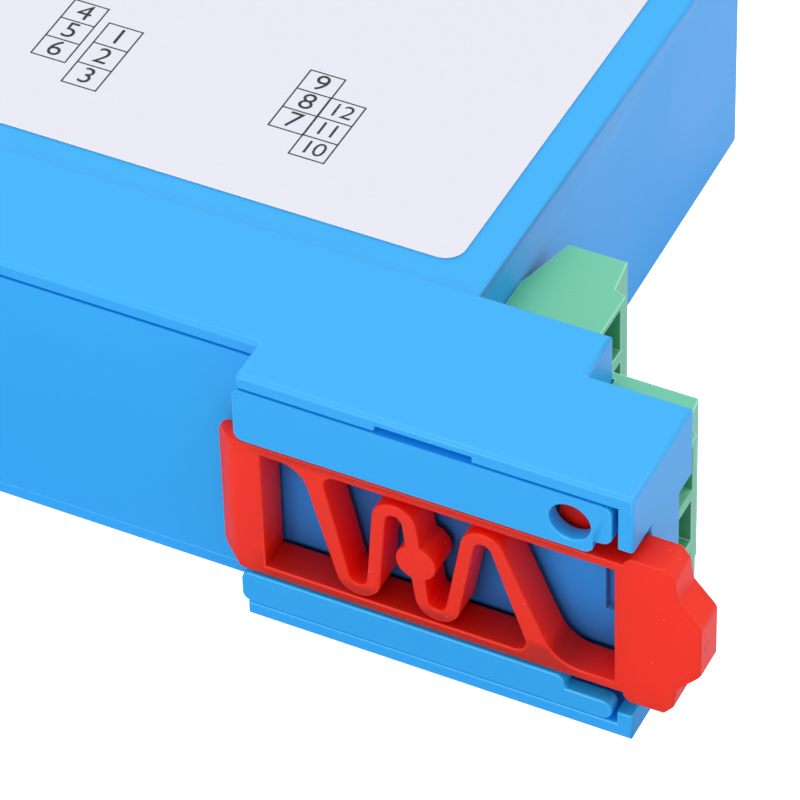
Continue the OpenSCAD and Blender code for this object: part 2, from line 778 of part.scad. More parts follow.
// Grip outside the case: a shouldered block that narrows to a blunt nose
module handle_outline() {
    nose_x = half_l + handle_out;
    neck_x = nose_x - nose_l;
    shoulder_x = half_l - shoulder_in;
    half = [
        [shoulder_x, handle_h / 2 - foot_chamfer],
        [shoulder_x + foot_chamfer, handle_h / 2],
        [neck_x - shoulder_bevel, handle_h / 2],
        [neck_x - nose_lean, handle_h / 2 - shoulder_bevel],
        [neck_x, neck_h / 2],
        [nose_x - nose_lean, nose_h / 2 + nose_bevel],
        [nose_x, nose_h / 2]];
    translate([0, clip_z])
        polygon(concat(half, [for (i = [len(half) - 1 : -1 : 0]) [half[i][0], -half[i][1]]]));
}

// Space for the rail's flange under the hook, and the slope that rides over the rail
module tip_cuts() {
    tip_x = clip_inner_x - tip_l;
    blunt_y = tip_under - tip_t;
    slope = [tip_l, clip_front - blunt_y];
    translate([0, 0, clip_low - overcut])
        linear_extrude(clip_h + 2 * overcut) {
            polygon([
                [tip_x, blunt_y] + 1.5 * slope, [tip_x, blunt_y] - 0.5 * slope,
                [tip_x - tip_l, clip_front - overcut], [tip_x, blunt_y] + 1.5 * slope - [0, overcut]]);
            translate([tip_x - overcut, tip_under])
                square([tip_l + overcut - tip_root, recess_d]);
        }
}

module rail_clip() {
    color(clip_red) {
        difference() {
            upright(clip_back, clip_t) {
                clip_frame_outline();
                spring_outline();
                handle_outline();
            }
            tip_cuts();
        }
        box([tab_x, lug_front, clip_top - clip_bar / 2], [tab_x + tab_l, clip_back, clip_top + tab_h]);
        box([window_x0, lug_front, clip_top - clip_bar / 2],
            [window_x0 + lug_l, clip_back, clip_top + lug_h]);
        box([window_x0, lug_front, clip_low - lug_h],
            [window_x0 + lug_l, clip_back, clip_low + clip_bar / 2]);
    }
}

module side_label() {
    label_d = body_d - upper_step_y - label_y - label_margin;
    color("#e9e9f3")
        translate([0, upper_step_y, body_z])
            rotate([-body_draft, 0, 0])
                translate([0, label_y, 0])
                    linear_extrude(label_t)
                        rounded_rect(-label_l / 2, 0, label_l / 2, label_d, label_r);
}

// Places the children at the middle of each pole along Z
module each_pole() {
    for (i = [0 : poles - 1])
        translate([0, 0, (i + 0.5) * pitch - block_half_z])
            children();
}

// Places the children at the back foot of all four blocks
module each_block() {
    both_ends() {
        translate([lower_block_x, lower_block_y, 0])
            children();
        translate([upper_block_x, upper_block_y, 0])
            children();
    }
}

// Foot, face with the wire entry's ledge, slope, flat top and shouldered back of a block
module block_outline() {
    ledge_y = block_h - ledge_drop;
    face_y = ledge_y - ledge_fall;
    shoulder_y = block_h - back_drop;
    polygon([
        [0, 0], [block_w, 0], [block_w, face_y], [block_w - ledge_bevel, face_y + ledge_bevel],
        [block_w - ledge_w, ledge_y], [block_top_x + block_top_w, block_h], [block_top_x, block_h],
        [back_lean, shoulder_y], [back_lean / 4, shoulder_y - back_round / 2],
        [0, shoulder_y - back_round]]);
}

// Shelf that reaches from the lower block over the step and under the upper block
module shelf_outline() {
    step_top = upper_step_y - lower_block_y;
    shelf_x = upper_block_x - lower_block_x;
    translate([shelf_x, step_top])
        square([block_w, shelf_h]);
    translate([shelf_x, step_top])
        square([block_top_x - shelf_x + block_top_w / 2, block_h - step_top]);
    square([block_top_x + block_top_w / 2, block_h]);
}

// Two small slots beside each pole, low on the sloping face
module probe_slots() {
    for (side = [-1, 1])
        translate([block_w - ledge_w - probe_d, block_h - ledge_drop + probe_up,
                side * pitch / 8 - probe_w / 2])
            cube([probe_d + overcut, probe_h, probe_w]);
}

// A block of one row of poles, its outline given by the children
module terminal_block() {
    color(block_green)
        difference() {
            linear_extrude(block_l, center = true)
                children();
            each_pole() {
                translate([entry_back, entry_floor, -entry_w / 2])
                    cube([block_w, entry_h, entry_w]);
                translate([screw_x, 0, 0])
                    rotate([-90, 0, 0]) {
                        translate([0, 0, block_h - screw_sink - screw_head_h])
                            cylinder(d = screw_hole_d, h = screw_head_h + screw_sink + overcut);
                        translate([0, 0, entry_floor + entry_h / 2])
                            cylinder(d = screw_d + 2 * fit, h = block_h);
                    }
                translate([-overcut, pin_y, 0])
                    rotate([0, 90, 0])
                        cylinder(d = pin_hole_d, h = entry_back + 2 * overcut);
                probe_slots();
            }
        }
}

module terminal_block_right_lower() {
    translate([lower_block_x, lower_block_y, 0])
        terminal_block() {
            block_outline();
            shelf_outline();
        }
}

module terminal_block_right_upper() {
    translate([upper_block_x, upper_block_y, 0])
        terminal_block()
            block_outline();
}

module terminal_block_left_lower() {
    mirror([1, 0, 0])
        terminal_block_right_lower();
}

module terminal_block_left_upper() {
    mirror([1, 0, 0])
        terminal_block_right_upper();
}

// Slotted screw that presses the clamp cage's wire
module clamp_screw() {
    head_y = block_h - screw_sink - screw_head_h;
    foot_y = entry_floor + cage_h / 2;
    difference() {
        translate([screw_x, 0, 0])
            rotate([-90, 0, 0]) {
                translate([0, 0, head_y])
                    cylinder(d = screw_head_d, h = screw_head_h);
                translate([0, 0, foot_y])
                    cylinder(d = screw_d, h = head_y - foot_y + screw_head_h / 2);
            }
        translate([screw_x - screw_head_d, head_y + screw_head_h / 2, -screw_slot / 2])
            cube([2 * screw_head_d, screw_head_h, screw_slot]);
    }
}

module clamp_screws() {
    color(metal_grey)
        each_block()
            each_pole()
                clamp_screw();
}

// Square sheet cage that grips the wire, with a hole for the screw in its top
module clamp_cage() {
    cage_w = entry_w - 2 * fit;
    difference() {
        translate([entry_back, entry_floor, -cage_w / 2])
            cube([cage_l, cage_h, cage_w]);
        translate([entry_back + cage_t, entry_floor + cage_t, -cage_w / 2 + cage_t])
            cube([cage_l, cage_h - 2 * cage_t, cage_w - 2 * cage_t]);
        translate([screw_x, entry_floor + cage_h / 2, 0])
            rotate([-90, 0, 0])
                cylinder(d = screw_d + fit, h = cage_h);
    }
}

module clamp_cages() {
    color("#d8c48c")
        each_block()
            each_pole()
                clamp_cage();
}

module terminal_pins() {
    pin_l = entry_back + fit + end_wall + riser_gap + terminal_board_t + pin_tail;
    color(metal_grey)
        each_block()
            each_pole()
                translate([entry_back - pin_l, pin_y, 0])
                    rotate([0, 90, 0])
                        cylinder(d = pin_d, h = pin_l);
}

module main_board() {
    color(board_green)
        translate([0, 0, board_z])
            linear_extrude(board_t) {
                translate([-board_x, board_y0])
                    square([2 * board_x, board_y1 - board_y0]);
                translate([-board_ear_x, board_y0])
                    square([2 * board_ear_x, board_ear_y - board_y0]);
            }
}

// Small upright boards that carry the pins of the terminal blocks
module terminal_boards() {
    back = fit + end_wall + riser_gap + terminal_board_t;
    color(board_green)
        each_block()
            difference() {
                translate([-back, pin_y - terminal_board_l / 2, board_top])
                    cube([terminal_board_t, terminal_board_l, terminal_board_top - board_top]);
                each_pole()
                    translate([-back - overcut, pin_y, 0])
                        rotate([0, 90, 0])
                            cylinder(d = pin_hole_d, h = terminal_board_t + 2 * overcut);
            }
}

// A part that stands on the main board with its middle at a place
module on_board(place) {
    translate([place[0], place[1], board_top])
        children();
}

module block_on_board(l, w, h) {
    translate([-l / 2, -w / 2, 0])
        cube([l, w, h]);
}

module input_transformer() {
    color("#2c4f8c")
        on_board(sensor_at)
            difference() {
                block_on_board(sensor_l, sensor_l, sensor_h);
                translate([0, 0, sensor_h - sensor_recess])
                    cylinder(d = sensor_l / 2, h = sensor_recess + overcut);
            }
}

// Ferrite core with two windows; its middle limb is as wide as both outer limbs
module supply_transformer_core() {
    window_w = core_l / 2 - 1.5 * core_limb;
    color("#3c3c40")
        on_board(supply_at)
            difference() {
                block_on_board(core_l, core_w, core_h);
                for (side = [-1, 1])
                    translate([side * core_l / 4, 0, core_limb])
                        block_on_board(window_w, 2 * core_w, core_h - 2 * core_limb);
            }
}

// Winding round the core's middle limb
module supply_transformer_coil() {
    middle_w = 1.5 * core_limb + 2 * fit;
    color("#d9a441")
        on_board(supply_at)
            difference() {
                translate([0, 0, core_limb])
                    block_on_board(core_l - 2 * core_limb, coil_l, core_h - 2 * core_limb);
                block_on_board(middle_w, core_w + 2 * fit, core_h);
            }
}

// Upright can with a groove near its foot
module can() {
    can_r = can_d / 2;
    groove_z = can_groove_up + can_groove;
    rotate_extrude()
        polygon([
            [0, 0], [can_r, 0], [can_r, groove_z - can_groove], [can_r - can_groove, groove_z],
            [can_r, groove_z + can_groove], [can_r, can_h - can_edge], [can_r - can_edge, can_h],
            [0, can_h]]);
}

module supply_capacitors() {
    color("#20242c")
        for (i = [0 : 1])
            on_board(can_at + i * [can_step, 0])
                can();
}

module film_capacitor() {
    color("#c8342c")
        on_board(film_at)
            block_on_board(film_l, film_w, film_h);
}

// Box trimmer with its slotted brass screw on top
module trimmer() {
    slot_w = trimmer_screw_d / 4;
    block_on_board(trimmer_l, trimmer_w, trimmer_h);
    translate([(trimmer_l - trimmer_screw_d) / 2 - slot_w, 0, trimmer_h])
        difference() {
            cylinder(d = trimmer_screw_d, h = trimmer_screw_h);
            translate([-trimmer_screw_d, -slot_w / 2, trimmer_screw_h / 2])
                cube([2 * trimmer_screw_d, slot_w, trimmer_screw_h]);
        }
}

module zero_trimmer() {
    color("#2f66b5")
        on_board([-trimmer_at[0], trimmer_at[1]])
            trimmer();
}

module span_trimmer() {
    color("#2f66b5")
        on_board(trimmer_at)
            trimmer();
}

// Flat body on two rows of bent leads
module chip(l, w, h, legs) {
    translate([0, 0, leg_t])
        block_on_board(l, w, h - leg_t);
    for (i = [0 : legs - 1], turn = [0, 180])
        rotate(turn)
            translate([(i - (legs - 1) / 2) * l / legs - leg_w / 2, w / 2, 0]) {
                cube([leg_w, leg_out, leg_t]);
                cube([leg_w, leg_t, h / 2]);
            }
}

module amplifier_chips() {
    color(chip_black)
        for (i = [0 : 1])
            on_board(amplifier_at + i * [amplifier_step, 0])
                chip(chip_l, chip_w, chip_h, 4);
}

module isolating_couplers() {
    color(chip_black)
        for (i = [0 : 1])
            on_board(coupler_at + i * [0, coupler_step])
                chip(coupler_l, coupler_w, coupler_h, 4);
}

module voltage_regulator() {
    color(chip_black)
        on_board(regulator_at)
            chip(regulator_l, regulator_w, regulator_h, 3);
}

// Axial part lying on the board, its two leads bent down at the ends
module axial(l, d) {
    lead_x = l / 2 + lead_run;
    translate([0, 0, d / 2])
        rotate([0, 90, 0]) {
            cylinder(d = d, h = l, center = true);
            cylinder(d = lead_d, h = 2 * lead_x, center = true);
        }
    for (side = [-1, 1])
        translate([side * lead_x, 0, 0])
            cylinder(d = lead_d, h = d / 2);
}

module measuring_resistor() {
    color("#9c8460")
        on_board(shunt_at)
            axial(shunt_l, shunt_d);
}

module protection_diodes() {
    color(chip_black)
        for (i = [0 : 2])
            on_board(diode_at + i * [0, diode_step])
                axial(diode_l, diode_d);
}

housing_shell();
rail_foot();
rail_clip();
side_label();
terminal_block_right_lower();
terminal_block_right_upper();
terminal_block_left_lower();
terminal_block_left_upper();
clamp_screws();
clamp_cages();
terminal_pins();
main_board();
terminal_boards();
input_transformer();
supply_transformer_core();
supply_transformer_coil();
supply_capacitors();
film_capacitor();
zero_trimmer();
span_trimmer();
amplifier_chips();
isolating_couplers();
voltage_regulator();
measuring_resistor();
protection_diodes();
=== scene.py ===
"""Dresses a current transmitter in a clip-on rail housing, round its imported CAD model."""

import json
import math

import bmesh
import bpy
from bpy.props import FloatProperty, FloatVectorProperty, PointerProperty
from mathutils import Matrix, Vector

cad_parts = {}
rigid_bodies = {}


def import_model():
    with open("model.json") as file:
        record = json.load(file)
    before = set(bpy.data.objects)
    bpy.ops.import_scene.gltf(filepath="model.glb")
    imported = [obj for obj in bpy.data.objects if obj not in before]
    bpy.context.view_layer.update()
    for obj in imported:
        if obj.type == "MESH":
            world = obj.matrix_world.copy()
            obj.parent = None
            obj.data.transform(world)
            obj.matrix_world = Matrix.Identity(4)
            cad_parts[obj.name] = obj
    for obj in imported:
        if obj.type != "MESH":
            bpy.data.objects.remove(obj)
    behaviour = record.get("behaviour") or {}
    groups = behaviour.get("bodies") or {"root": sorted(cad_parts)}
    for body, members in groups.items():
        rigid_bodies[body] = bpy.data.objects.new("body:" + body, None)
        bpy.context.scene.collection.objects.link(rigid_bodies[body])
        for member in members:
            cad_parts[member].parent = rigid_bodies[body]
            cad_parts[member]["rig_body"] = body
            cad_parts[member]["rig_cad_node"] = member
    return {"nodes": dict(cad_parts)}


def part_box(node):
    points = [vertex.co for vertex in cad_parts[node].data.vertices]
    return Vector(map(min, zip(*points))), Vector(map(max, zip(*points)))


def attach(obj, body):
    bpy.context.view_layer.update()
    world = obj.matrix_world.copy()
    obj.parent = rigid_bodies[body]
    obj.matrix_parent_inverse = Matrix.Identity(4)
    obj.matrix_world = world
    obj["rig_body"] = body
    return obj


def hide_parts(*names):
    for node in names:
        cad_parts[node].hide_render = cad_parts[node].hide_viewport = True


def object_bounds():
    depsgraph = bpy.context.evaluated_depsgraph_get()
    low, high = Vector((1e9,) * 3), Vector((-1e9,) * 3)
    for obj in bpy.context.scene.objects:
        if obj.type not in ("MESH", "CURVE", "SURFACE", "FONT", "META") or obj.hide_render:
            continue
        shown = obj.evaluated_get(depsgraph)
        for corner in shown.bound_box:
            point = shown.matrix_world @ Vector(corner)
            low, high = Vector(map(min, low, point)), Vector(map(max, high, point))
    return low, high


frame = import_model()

bl_info = {
    "name": "Current transmitter",
    "version": (1, 0, 0),
    "blender": (4, 5, 0),
    "location": "3D View > Sidebar > Transmitter",
    "description": "Makes the looks of a current transmitter on its CAD frame",
    "category": "Object",
}

MM = 0.001
CAD_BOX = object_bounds()
CASE = "case"
CLIP = "clip"
SIDES = ("right", "left")
LEVELS = ("lower", "upper")

# How the copy of a CAD node is merged, rounded and shaded
MERGE = 0.001 * MM  # corners closer than this become one
FLAT = math.radians(0.4)  # faces that turn less than this become one
SHARP = math.radians(30)  # edges that turn more than this are rounded
SMOOTH = math.radians(50)  # edges that turn less than this are shaded smooth
ROUNDING_STEPS = 2  # faces across a rounding
ROUNDING_TRIES = 5
ROUNDING_SHARE = 0.45  # most that a rounding takes of the face beside its edge
ASIDE = 0.5  # sine of the least angle at which another edge limits a rounding
KEEP_OFF = 2  # how many widths of a rounding stay sharp round a fold
FOLD_AREA = 2e-10  # twice the area, in square metres, from which a fold can show
FOLD_TURN = 0.7  # cosine of the turn from its own face at which a triangle is a fold
UPRIGHT = 0.2  # most that an upright face's normal leans up or down

# The closed hollow of the case: half its thickness, half its length above and below the
# lower steps, the height of those steps, and the room over the main board
HOLLOW_DEPTH = 10.4 * MM
HOLLOW_ABOVE = 29 * MM
HOLLOW_BELOW = 39 * MM
HOLLOW_STEP = 9.8 * MM
HOLLOW_TOP = 0.4 * MM

# Moulded plastics
PLASTIC_IOR = 1.53
SHADE_RAYS = 6  # rays that find how open a place is
CORNER_REACH = 4 * MM  # how near a wall has to be for a corner's painted shade
WALL_REACH = 5 * MM  # the same for the wall behind the clip
ROUGHNESS_SPREAD = 0.05  # how far the clouds move the roughness either way
EDGE_ROUGHNESS = 0.25  # of the roundings whose lighter colour is a painted highlight
EDGE_CLOUD = 6 * MM  # width of the clouds that vary it


def linear(hex_colour):
    """Turns an sRGB hex colour into Blender's linear red, green, blue and alpha."""
    shares = [int(hex_colour[i:i + 2], 16) / 255 for i in (1, 3, 5)]
    return (*[s / 12.92 if s <= 0.04045 else ((s + 0.055) / 1.055) ** 2.4 for s in shares], 1.0)


def darker(colour, share):
    """A colour at a share of its brightness."""
    return (*[share * part for part in colour[:3]], 1.0)


def colour_setting(name, description, hex_colour):
    """A setting for a colour, from its sRGB hex value."""
    return FloatVectorProperty(
        name=name, description=description, subtype="COLOR", size=4, min=0, max=1,
        default=linear(hex_colour))


def length_setting(name, description, millimetres):
    """A setting for a length."""
    return FloatProperty(
        name=name, description=description, subtype="DISTANCE", unit="LENGTH", min=0,
        default=millimetres * MM)


def share_setting(name, description, share):
    """A setting between none and all."""
    return FloatProperty(name=name, description=description, min=0, max=1, default=share)


def place_setting(name, description, place):
    """A setting for a place in the shared frame, in metres."""
    return FloatVectorProperty(
        name=name, description=description, subtype="TRANSLATION", size=3, default=place)


# Settings. The grain of a moulded skin is about 0.05 mm wide, and the fibres of a film's
# coating are finer still. They are drawn as coarse as they need to show in a picture.


class HousingSettings(bpy.types.PropertyGroup):
    """Sizes and colours of the blue mouldings"""
    edge: length_setting("Edge", "Width of the rounding along the mouldings' edges", 0.16)
    grain: length_setting("Grain", "Width of one grain of the satin tool surface", 0.22)
    cloud: length_setting("Cloud", "Width of the faint clouds in the surface", 14)
    roughness: share_setting("Roughness", "Dullness of the satin skin", 0.42)
    gloss: share_setting("Gloss", "Strength of the satin skin's reflection", 0.64)
    edge_gloss: share_setting("Edge gloss", "Strength of the edges' reflection", 0.5)
    speck_pitch: length_setting("Speck pitch", "Distance between two moulding specks", 3.5)
    speck: length_setting("Speck", "Diameter of a moulding speck", 0.16)
    dust_pitch: length_setting("Dust pitch", "Distance between two specks of dust", 0.9)
    dust_size: length_setting("Dust size", "Diameter of a speck of dust", 0.07)
    eroded_from: length_setting("Eroded from", "Where the wall behind the clip starts", 18.3)
    eroded_front: length_setting("Eroded front", "How far before the rail seat it starts", 0.3)
    eroded_roughness: share_setting("Eroded roughness", "Dullness of that wall", 0.67)
    pit: length_setting("Pit", "Width of a pit in that wall's skin", 0.12)
    pit_tone: share_setting("Pit tone", "Brightness of a pit beside the skin round it", 0.8)
    colour: colour_setting("Colour", "Colour of the blue plastic", "#0EAAF2")
    cloud_colour: colour_setting("Cloud colour", "Colour of the faint clouds", "#16ADF5")
    # Painted shade: the tint that grooves and corners take, mixed in by how open they are
    painted_shade_colour: colour_setting("Deep colour", "Colour in the grooves and corners", "#1CAEFF")
    speck_colour: colour_setting("Speck colour", "Colour of the specks", "#7ACBFC")
    # Painted highlight: the lighter colour of the edges' roundings
    painted_edge_highlight: colour_setting("Edge colour", "Colour of the burnished edges", "#2CB6FA")
    # Painted shade on the wall behind the clip, in the open and in its corners
    painted_shade_wall_colour: colour_setting("Eroded colour", "Colour of the wall behind the clip", "#1294F1")
    painted_shade_wall_corners: colour_setting("Eroded deep", "Colour of that wall in its corners", "#0E58A7")
    dust: colour_setting("Dust", "Colour of the dust on the foot", "#A8C0E8")


class ClipSettings(bpy.types.PropertyGroup):
    """Sizes and colours of the red clip"""
    edge: length_setting("Edge", "Width of the rounding along the clip's edges", 0.14)
    grain: length_setting("Grain", "Width of one grain of the moulded surface", 0.3)
    flow: length_setting("Flow", "Width of a flow mark", 9)
    roughness: share_setting("Roughness", "Dullness of the skin", 0.42)
    gloss: share_setting("Gloss", "Strength of the skin's reflection", 0.28)
    edge_gloss: share_setting("Edge gloss", "Strength of the edges' reflection", 0.25)
    speck_pitch: length_setting("Speck pitch", "Distance between two specks of dust", 1.1)
    speck: length_setting("Speck", "Diameter of a speck of dust", 0.11)
    gate: place_setting(
        "Gate", "Middle of the gate mark on the nose", (53.3 * MM, -2.4 * MM, -0.9 * MM))
    gate_radius: length_setting("Gate radius", "Radius of the gate mark's ring", 0.3)
    # Where the painted shade on the thin bars lies, and how dark it is
    bar_from: length_setting("Bars from", "Where the tone starts to deepen to the bars", 4.6)
    bar_full: length_setting("Bars full", "Distance of the thin bars from the middle", 5.4)
    bars_start: length_setting("Bars start", "Where the thin bars start", 18.5)
    bars_in: length_setting("Bars in", "Length over which their tone comes in", 2)
    bars_end: length_setting("Bars end", "Where the thin bars end in the handle", 46)
    bars_out: length_setting("Bars out", "Length over which their tone goes out", 3)
    bar_painted_shade: share_setting("Bar depth", "How much deeper the thin bars are in tone", 0.4)
    colour: colour_setting("Colour", "Colour of the red plastic", "#F52B10")
    flow_colour: colour_setting("Flow colour", "Colour of its flow marks", "#F82F14")
    # Painted shade: the tint that recesses take, mixed in by how open they are
    painted_shade_colour: colour_setting("Deep colour", "Colour in the recesses", "#FF0C02")
    # Painted highlight: the colour of the edges' roundings
    painted_edge_highlight: colour_setting("Edge colour", "Colour of the burnished edges", "#F22E14")
    gate_colour: colour_setting("Gate colour", "Colour of the gate mark", "#D0180C")
    dust: colour_setting("Dust", "Colour of the dust in the corners", "#FFD8D0")


class TerminalSettings(bpy.types.PropertyGroup):
    """Sizes and colours of the terminal blocks and their metal"""
    edge: length_setting("Edge", "Width of the rounding along the blocks' edges", 0.08)
    grain: length_setting("Grain", "Width of one grain of the moulded surface", 0.25)
    cloud: length_setting("Cloud", "Width of the faint clouds in the surface", 7)
    roughness: share_setting("Roughness", "Dullness of the skin", 0.46)
    edge_gloss: share_setting("Edge gloss", "Strength of the edges' reflection", 0.5)
    scuff_pitch: length_setting("Scuff pitch", "Distance between two dark scuffs", 1.9)
    scuff: length_setting("Scuff", "Diameter of a dark scuff", 0.13)
    colour: colour_setting("Colour", "Colour of the green plastic", "#6CCAA2")
    cloud_colour: colour_setting("Cloud colour", "Colour of the faint clouds", "#72CEA8")
    # Painted shade: the tint that openings take, mixed in by how open they are
    painted_shade_colour: colour_setting("Deep colour", "Colour in the openings", "#40AE74")
    # Painted highlight: the lighter colour of the edges' roundings
    painted_edge_highlight: colour_setting("Edge colour", "Colour of the burnished edges", "#A4EACC")
    scuff_colour: colour_setting("Scuff colour", "Colour of the scuffs", "#4A6A5C")
    zinc: colour_setting("Zinc", "Colour of the plated screws", "#C9CCCB")
    zinc_patch: colour_setting("Zinc patch", "Colour of the cloudy patches", "#AEB2B4")
    tin: colour_setting("Tin", "Colour of the tinned clamps and pins", "#CFC8B4")
    tin_patch: colour_setting("Tin patch", "Colour of the dull patches", "#B5A988")


class LabelSettings(bpy.types.PropertyGroup):
    """Sizes and colours of the label and its number boxes"""
    edge: length_setting("Edge", "Width of the film's cut edge", 0.06)
    fibre: length_setting("Fibre", "Width of a fibre in the film's coating", 0.35)
    wave: length_setting("Wave", "Width of a wave in the adhesive", 4)
    nick: length_setting("Nick", "Width of a nick in the cut edge", 0.5)
    cell_width: length_setting("Cell width", "Width of a number's box", 2.81)
    line: length_setting("Line", "Width of the printed lines", 0.12)
    ink: length_setting("Ink", "Thickness of the ink", 0.012)
    ink_break: length_setting("Ink break", "Width of a break in the ink", 0.12)
    clear: length_setting("Clear", "Lift of the print off the film", 0.004)
    number_size: length_setting("Number size", "Size of the numbers with one digit", 2.5)
    pair_size: length_setting("Pair size", "Size of the numbers with two digits", 2.1)
    pair_spacing: share_setting("Pair spacing", "Share of the usual room between digits", 0.9)
    thin: length_setting("Thin", "How much thinner the numbers' strokes are", 0.008)
    tilt: FloatProperty(
        name="Tilt", description="Draft of the side that carries the label", subtype="ANGLE",
        default=math.radians(1.6))
    colour: colour_setting("Colour", "Colour of the film", "#DFE0EB")
    fibre_colour: colour_setting("Fibre colour", "Colour of the coating's fibres", "#E4E4EE")
    # Painted highlight on the film's cut rim, and a painted shadow line along its upright sides
    painted_rim_highlight: colour_setting("Rim colour", "Colour of the film's cut edge", "#F6F6FA")
    painted_edge_shadow: colour_setting("Adhesive colour", "Colour of the line under it", "#3A5A80")
    ink_colour: colour_setting("Ink colour", "Colour of the print", "#16161E")


class BoardSettings(bpy.types.PropertyGroup):
    """Colours of the boards and the parts on them"""
    mask: colour_setting("Solder mask", "Colour of the boards", "#1F6B45")
    track: colour_setting("Tracks", "Colour of the copper tracks under the mask", "#2F8458")
    potted: colour_setting("Input transformer", "Colour of its moulded case", "#2C4F8C")
    ferrite: colour_setting("Ferrite", "Colour of the supply transformer's core", "#3C3C40")
    tape: colour_setting("Tape", "Colour of the tape round the coil", "#D9A441")
    sleeve: colour_setting("Sleeve", "Colour of the large capacitors' sleeves", "#20242C")
    film: colour_setting("Film capacitor", "Colour of its dipped case", "#C8342C")
    trimmer: colour_setting("Trimmers", "Colour of the trimmers' cases", "#2F66B5")
    epoxy: colour_setting("Chips", "Colour of the chips' moulded bodies", "#26262A")
    cement: colour_setting("Resistor", "Colour of the measuring resistor's coating", "#9C8460")


class StageSettings(bpy.types.PropertyGroup):
    """The floor, the lights and the camera"""
    floor_size: FloatProperty(
        name="Floor size", description="Length of the floor's sides", unit="LENGTH", default=6)
    floor_gap: length_setting("Floor gap", "Room between the floor and the part", 0.02)
    floor_colour: colour_setting("Floor", "Colour of the floor's paper", "#FCEAFA")
    floor_glow: FloatProperty(
        name="Floor glow", description="Lift that clears the floor to white for the camera alone",
        default=1.2, min=0)
    tooth: length_setting("Tooth", "Width of the paper's tooth", 0.6)
    grey_colour: colour_setting("Grey", "Colour of the floor before the rail side", "#A6AEBE")
    grey_from: length_setting("Grey from", "How far behind the rail seat the grey starts", 6)
    grey_full: length_setting("Grey full", "How far before the seat it is full", 10)
    grey_fades: length_setting("Grey fades", "How far before the seat it starts to fade", 12)
    grey_faded: length_setting("Grey faded", "How far before the seat it has faded", 34)
    grey_rest: share_setting("Grey rest", "Share of the grey that stays beyond", 0.4)
    world_strength: FloatProperty(
        name="World", description="Strength of the even light from all round", default=0.85, min=0)
    lit_place: place_setting("Lit place", "Where both lights point", (0.02, 0.01, 0))
    key_place: place_setting("Key place", "Place of the soft light above", (-0.05, 0.15, 1))
    key_size: length_setting("Key size", "Length of its sides", 800)
    key_power: FloatProperty(name="Key", description="Its power", default=2.5, min=0, unit="POWER")
    fill_place: place_setting(
        "Fill place", "Place of the low soft light before the rail side", (-0.1, -0.8, 0.12))
    fill_size: length_setting("Fill size", "Length of its sides", 400)
    fill_power: FloatProperty(
        name="Fill", description="Its power", default=1.95, min=0, unit="POWER")
    camera_place: place_setting(
        "Camera", "Place of the camera", (0.161755, -0.258496, 0.286389))
    camera_right: FloatVectorProperty(
        name="Camera right", description="Direction of the picture's right", subtype="DIRECTION",
        size=3, default=(0.89949692, 0.4362984, -0.02343062))
    camera_up: FloatVectorProperty(
        name="Camera up", description="Direction of the picture's top", subtype="DIRECTION",
        size=3, default=(-0.28521847, 0.62695526, 0.72496726))
    sensor: FloatProperty(
        name="Sensor", description="Width of the camera's sensor", subtype="DISTANCE_CAMERA",
        default=36)
    lens: FloatProperty(
        name="Lens", description="Focal length of the camera", subtype="DISTANCE_CAMERA",
        default=262.95)
    near: length_setting("Near", "Distance from which the camera sees", 10)


SETTINGS = {
    "transmitter_housing": HousingSettings,
    "transmitter_clip": ClipSettings,
    "transmitter_terminals": TerminalSettings,
    "transmitter_label": LabelSettings,
    "transmitter_boards": BoardSettings,
    "transmitter_stage": StageSettings,
}


# Materials


def add_node(tree, kind, settings=None, links=None):
    """Adds a node, sets its properties or the values of its inputs, and links into it."""
    node = tree.nodes.new(kind)
    for name, value in (settings or {}).items():
        if isinstance(name, int) or name in node.inputs:
            node.inputs[name].default_value = value
        else:
            setattr(node, name, value)
    for name, source in (links or {}).items():
        tree.links.new(source, node.inputs[name])
    return node


def new_material(name, shader_settings):
    """Starts a material with its shader and the piece's own coordinates."""
    material = bpy.data.materials.new(name)
    material.use_nodes = True
    tree = material.node_tree
    tree.nodes.clear()
    shader = add_node(tree, "ShaderNodeBsdfPrincipled", shader_settings)
    add_node(tree, "ShaderNodeOutputMaterial", links={"Surface": shader.outputs[0]})
    place = add_node(tree, "ShaderNodeTexCoord").outputs["Object"]
    return material, tree, shader, place


def started(material):
    """The tree, the shader's colour input and the coordinates of a material made before."""
    tree = material.node_tree
    return (tree, tree.nodes["Principled BSDF"].inputs["Base Color"],
            tree.nodes["Texture Coordinate"].outputs["Object"])


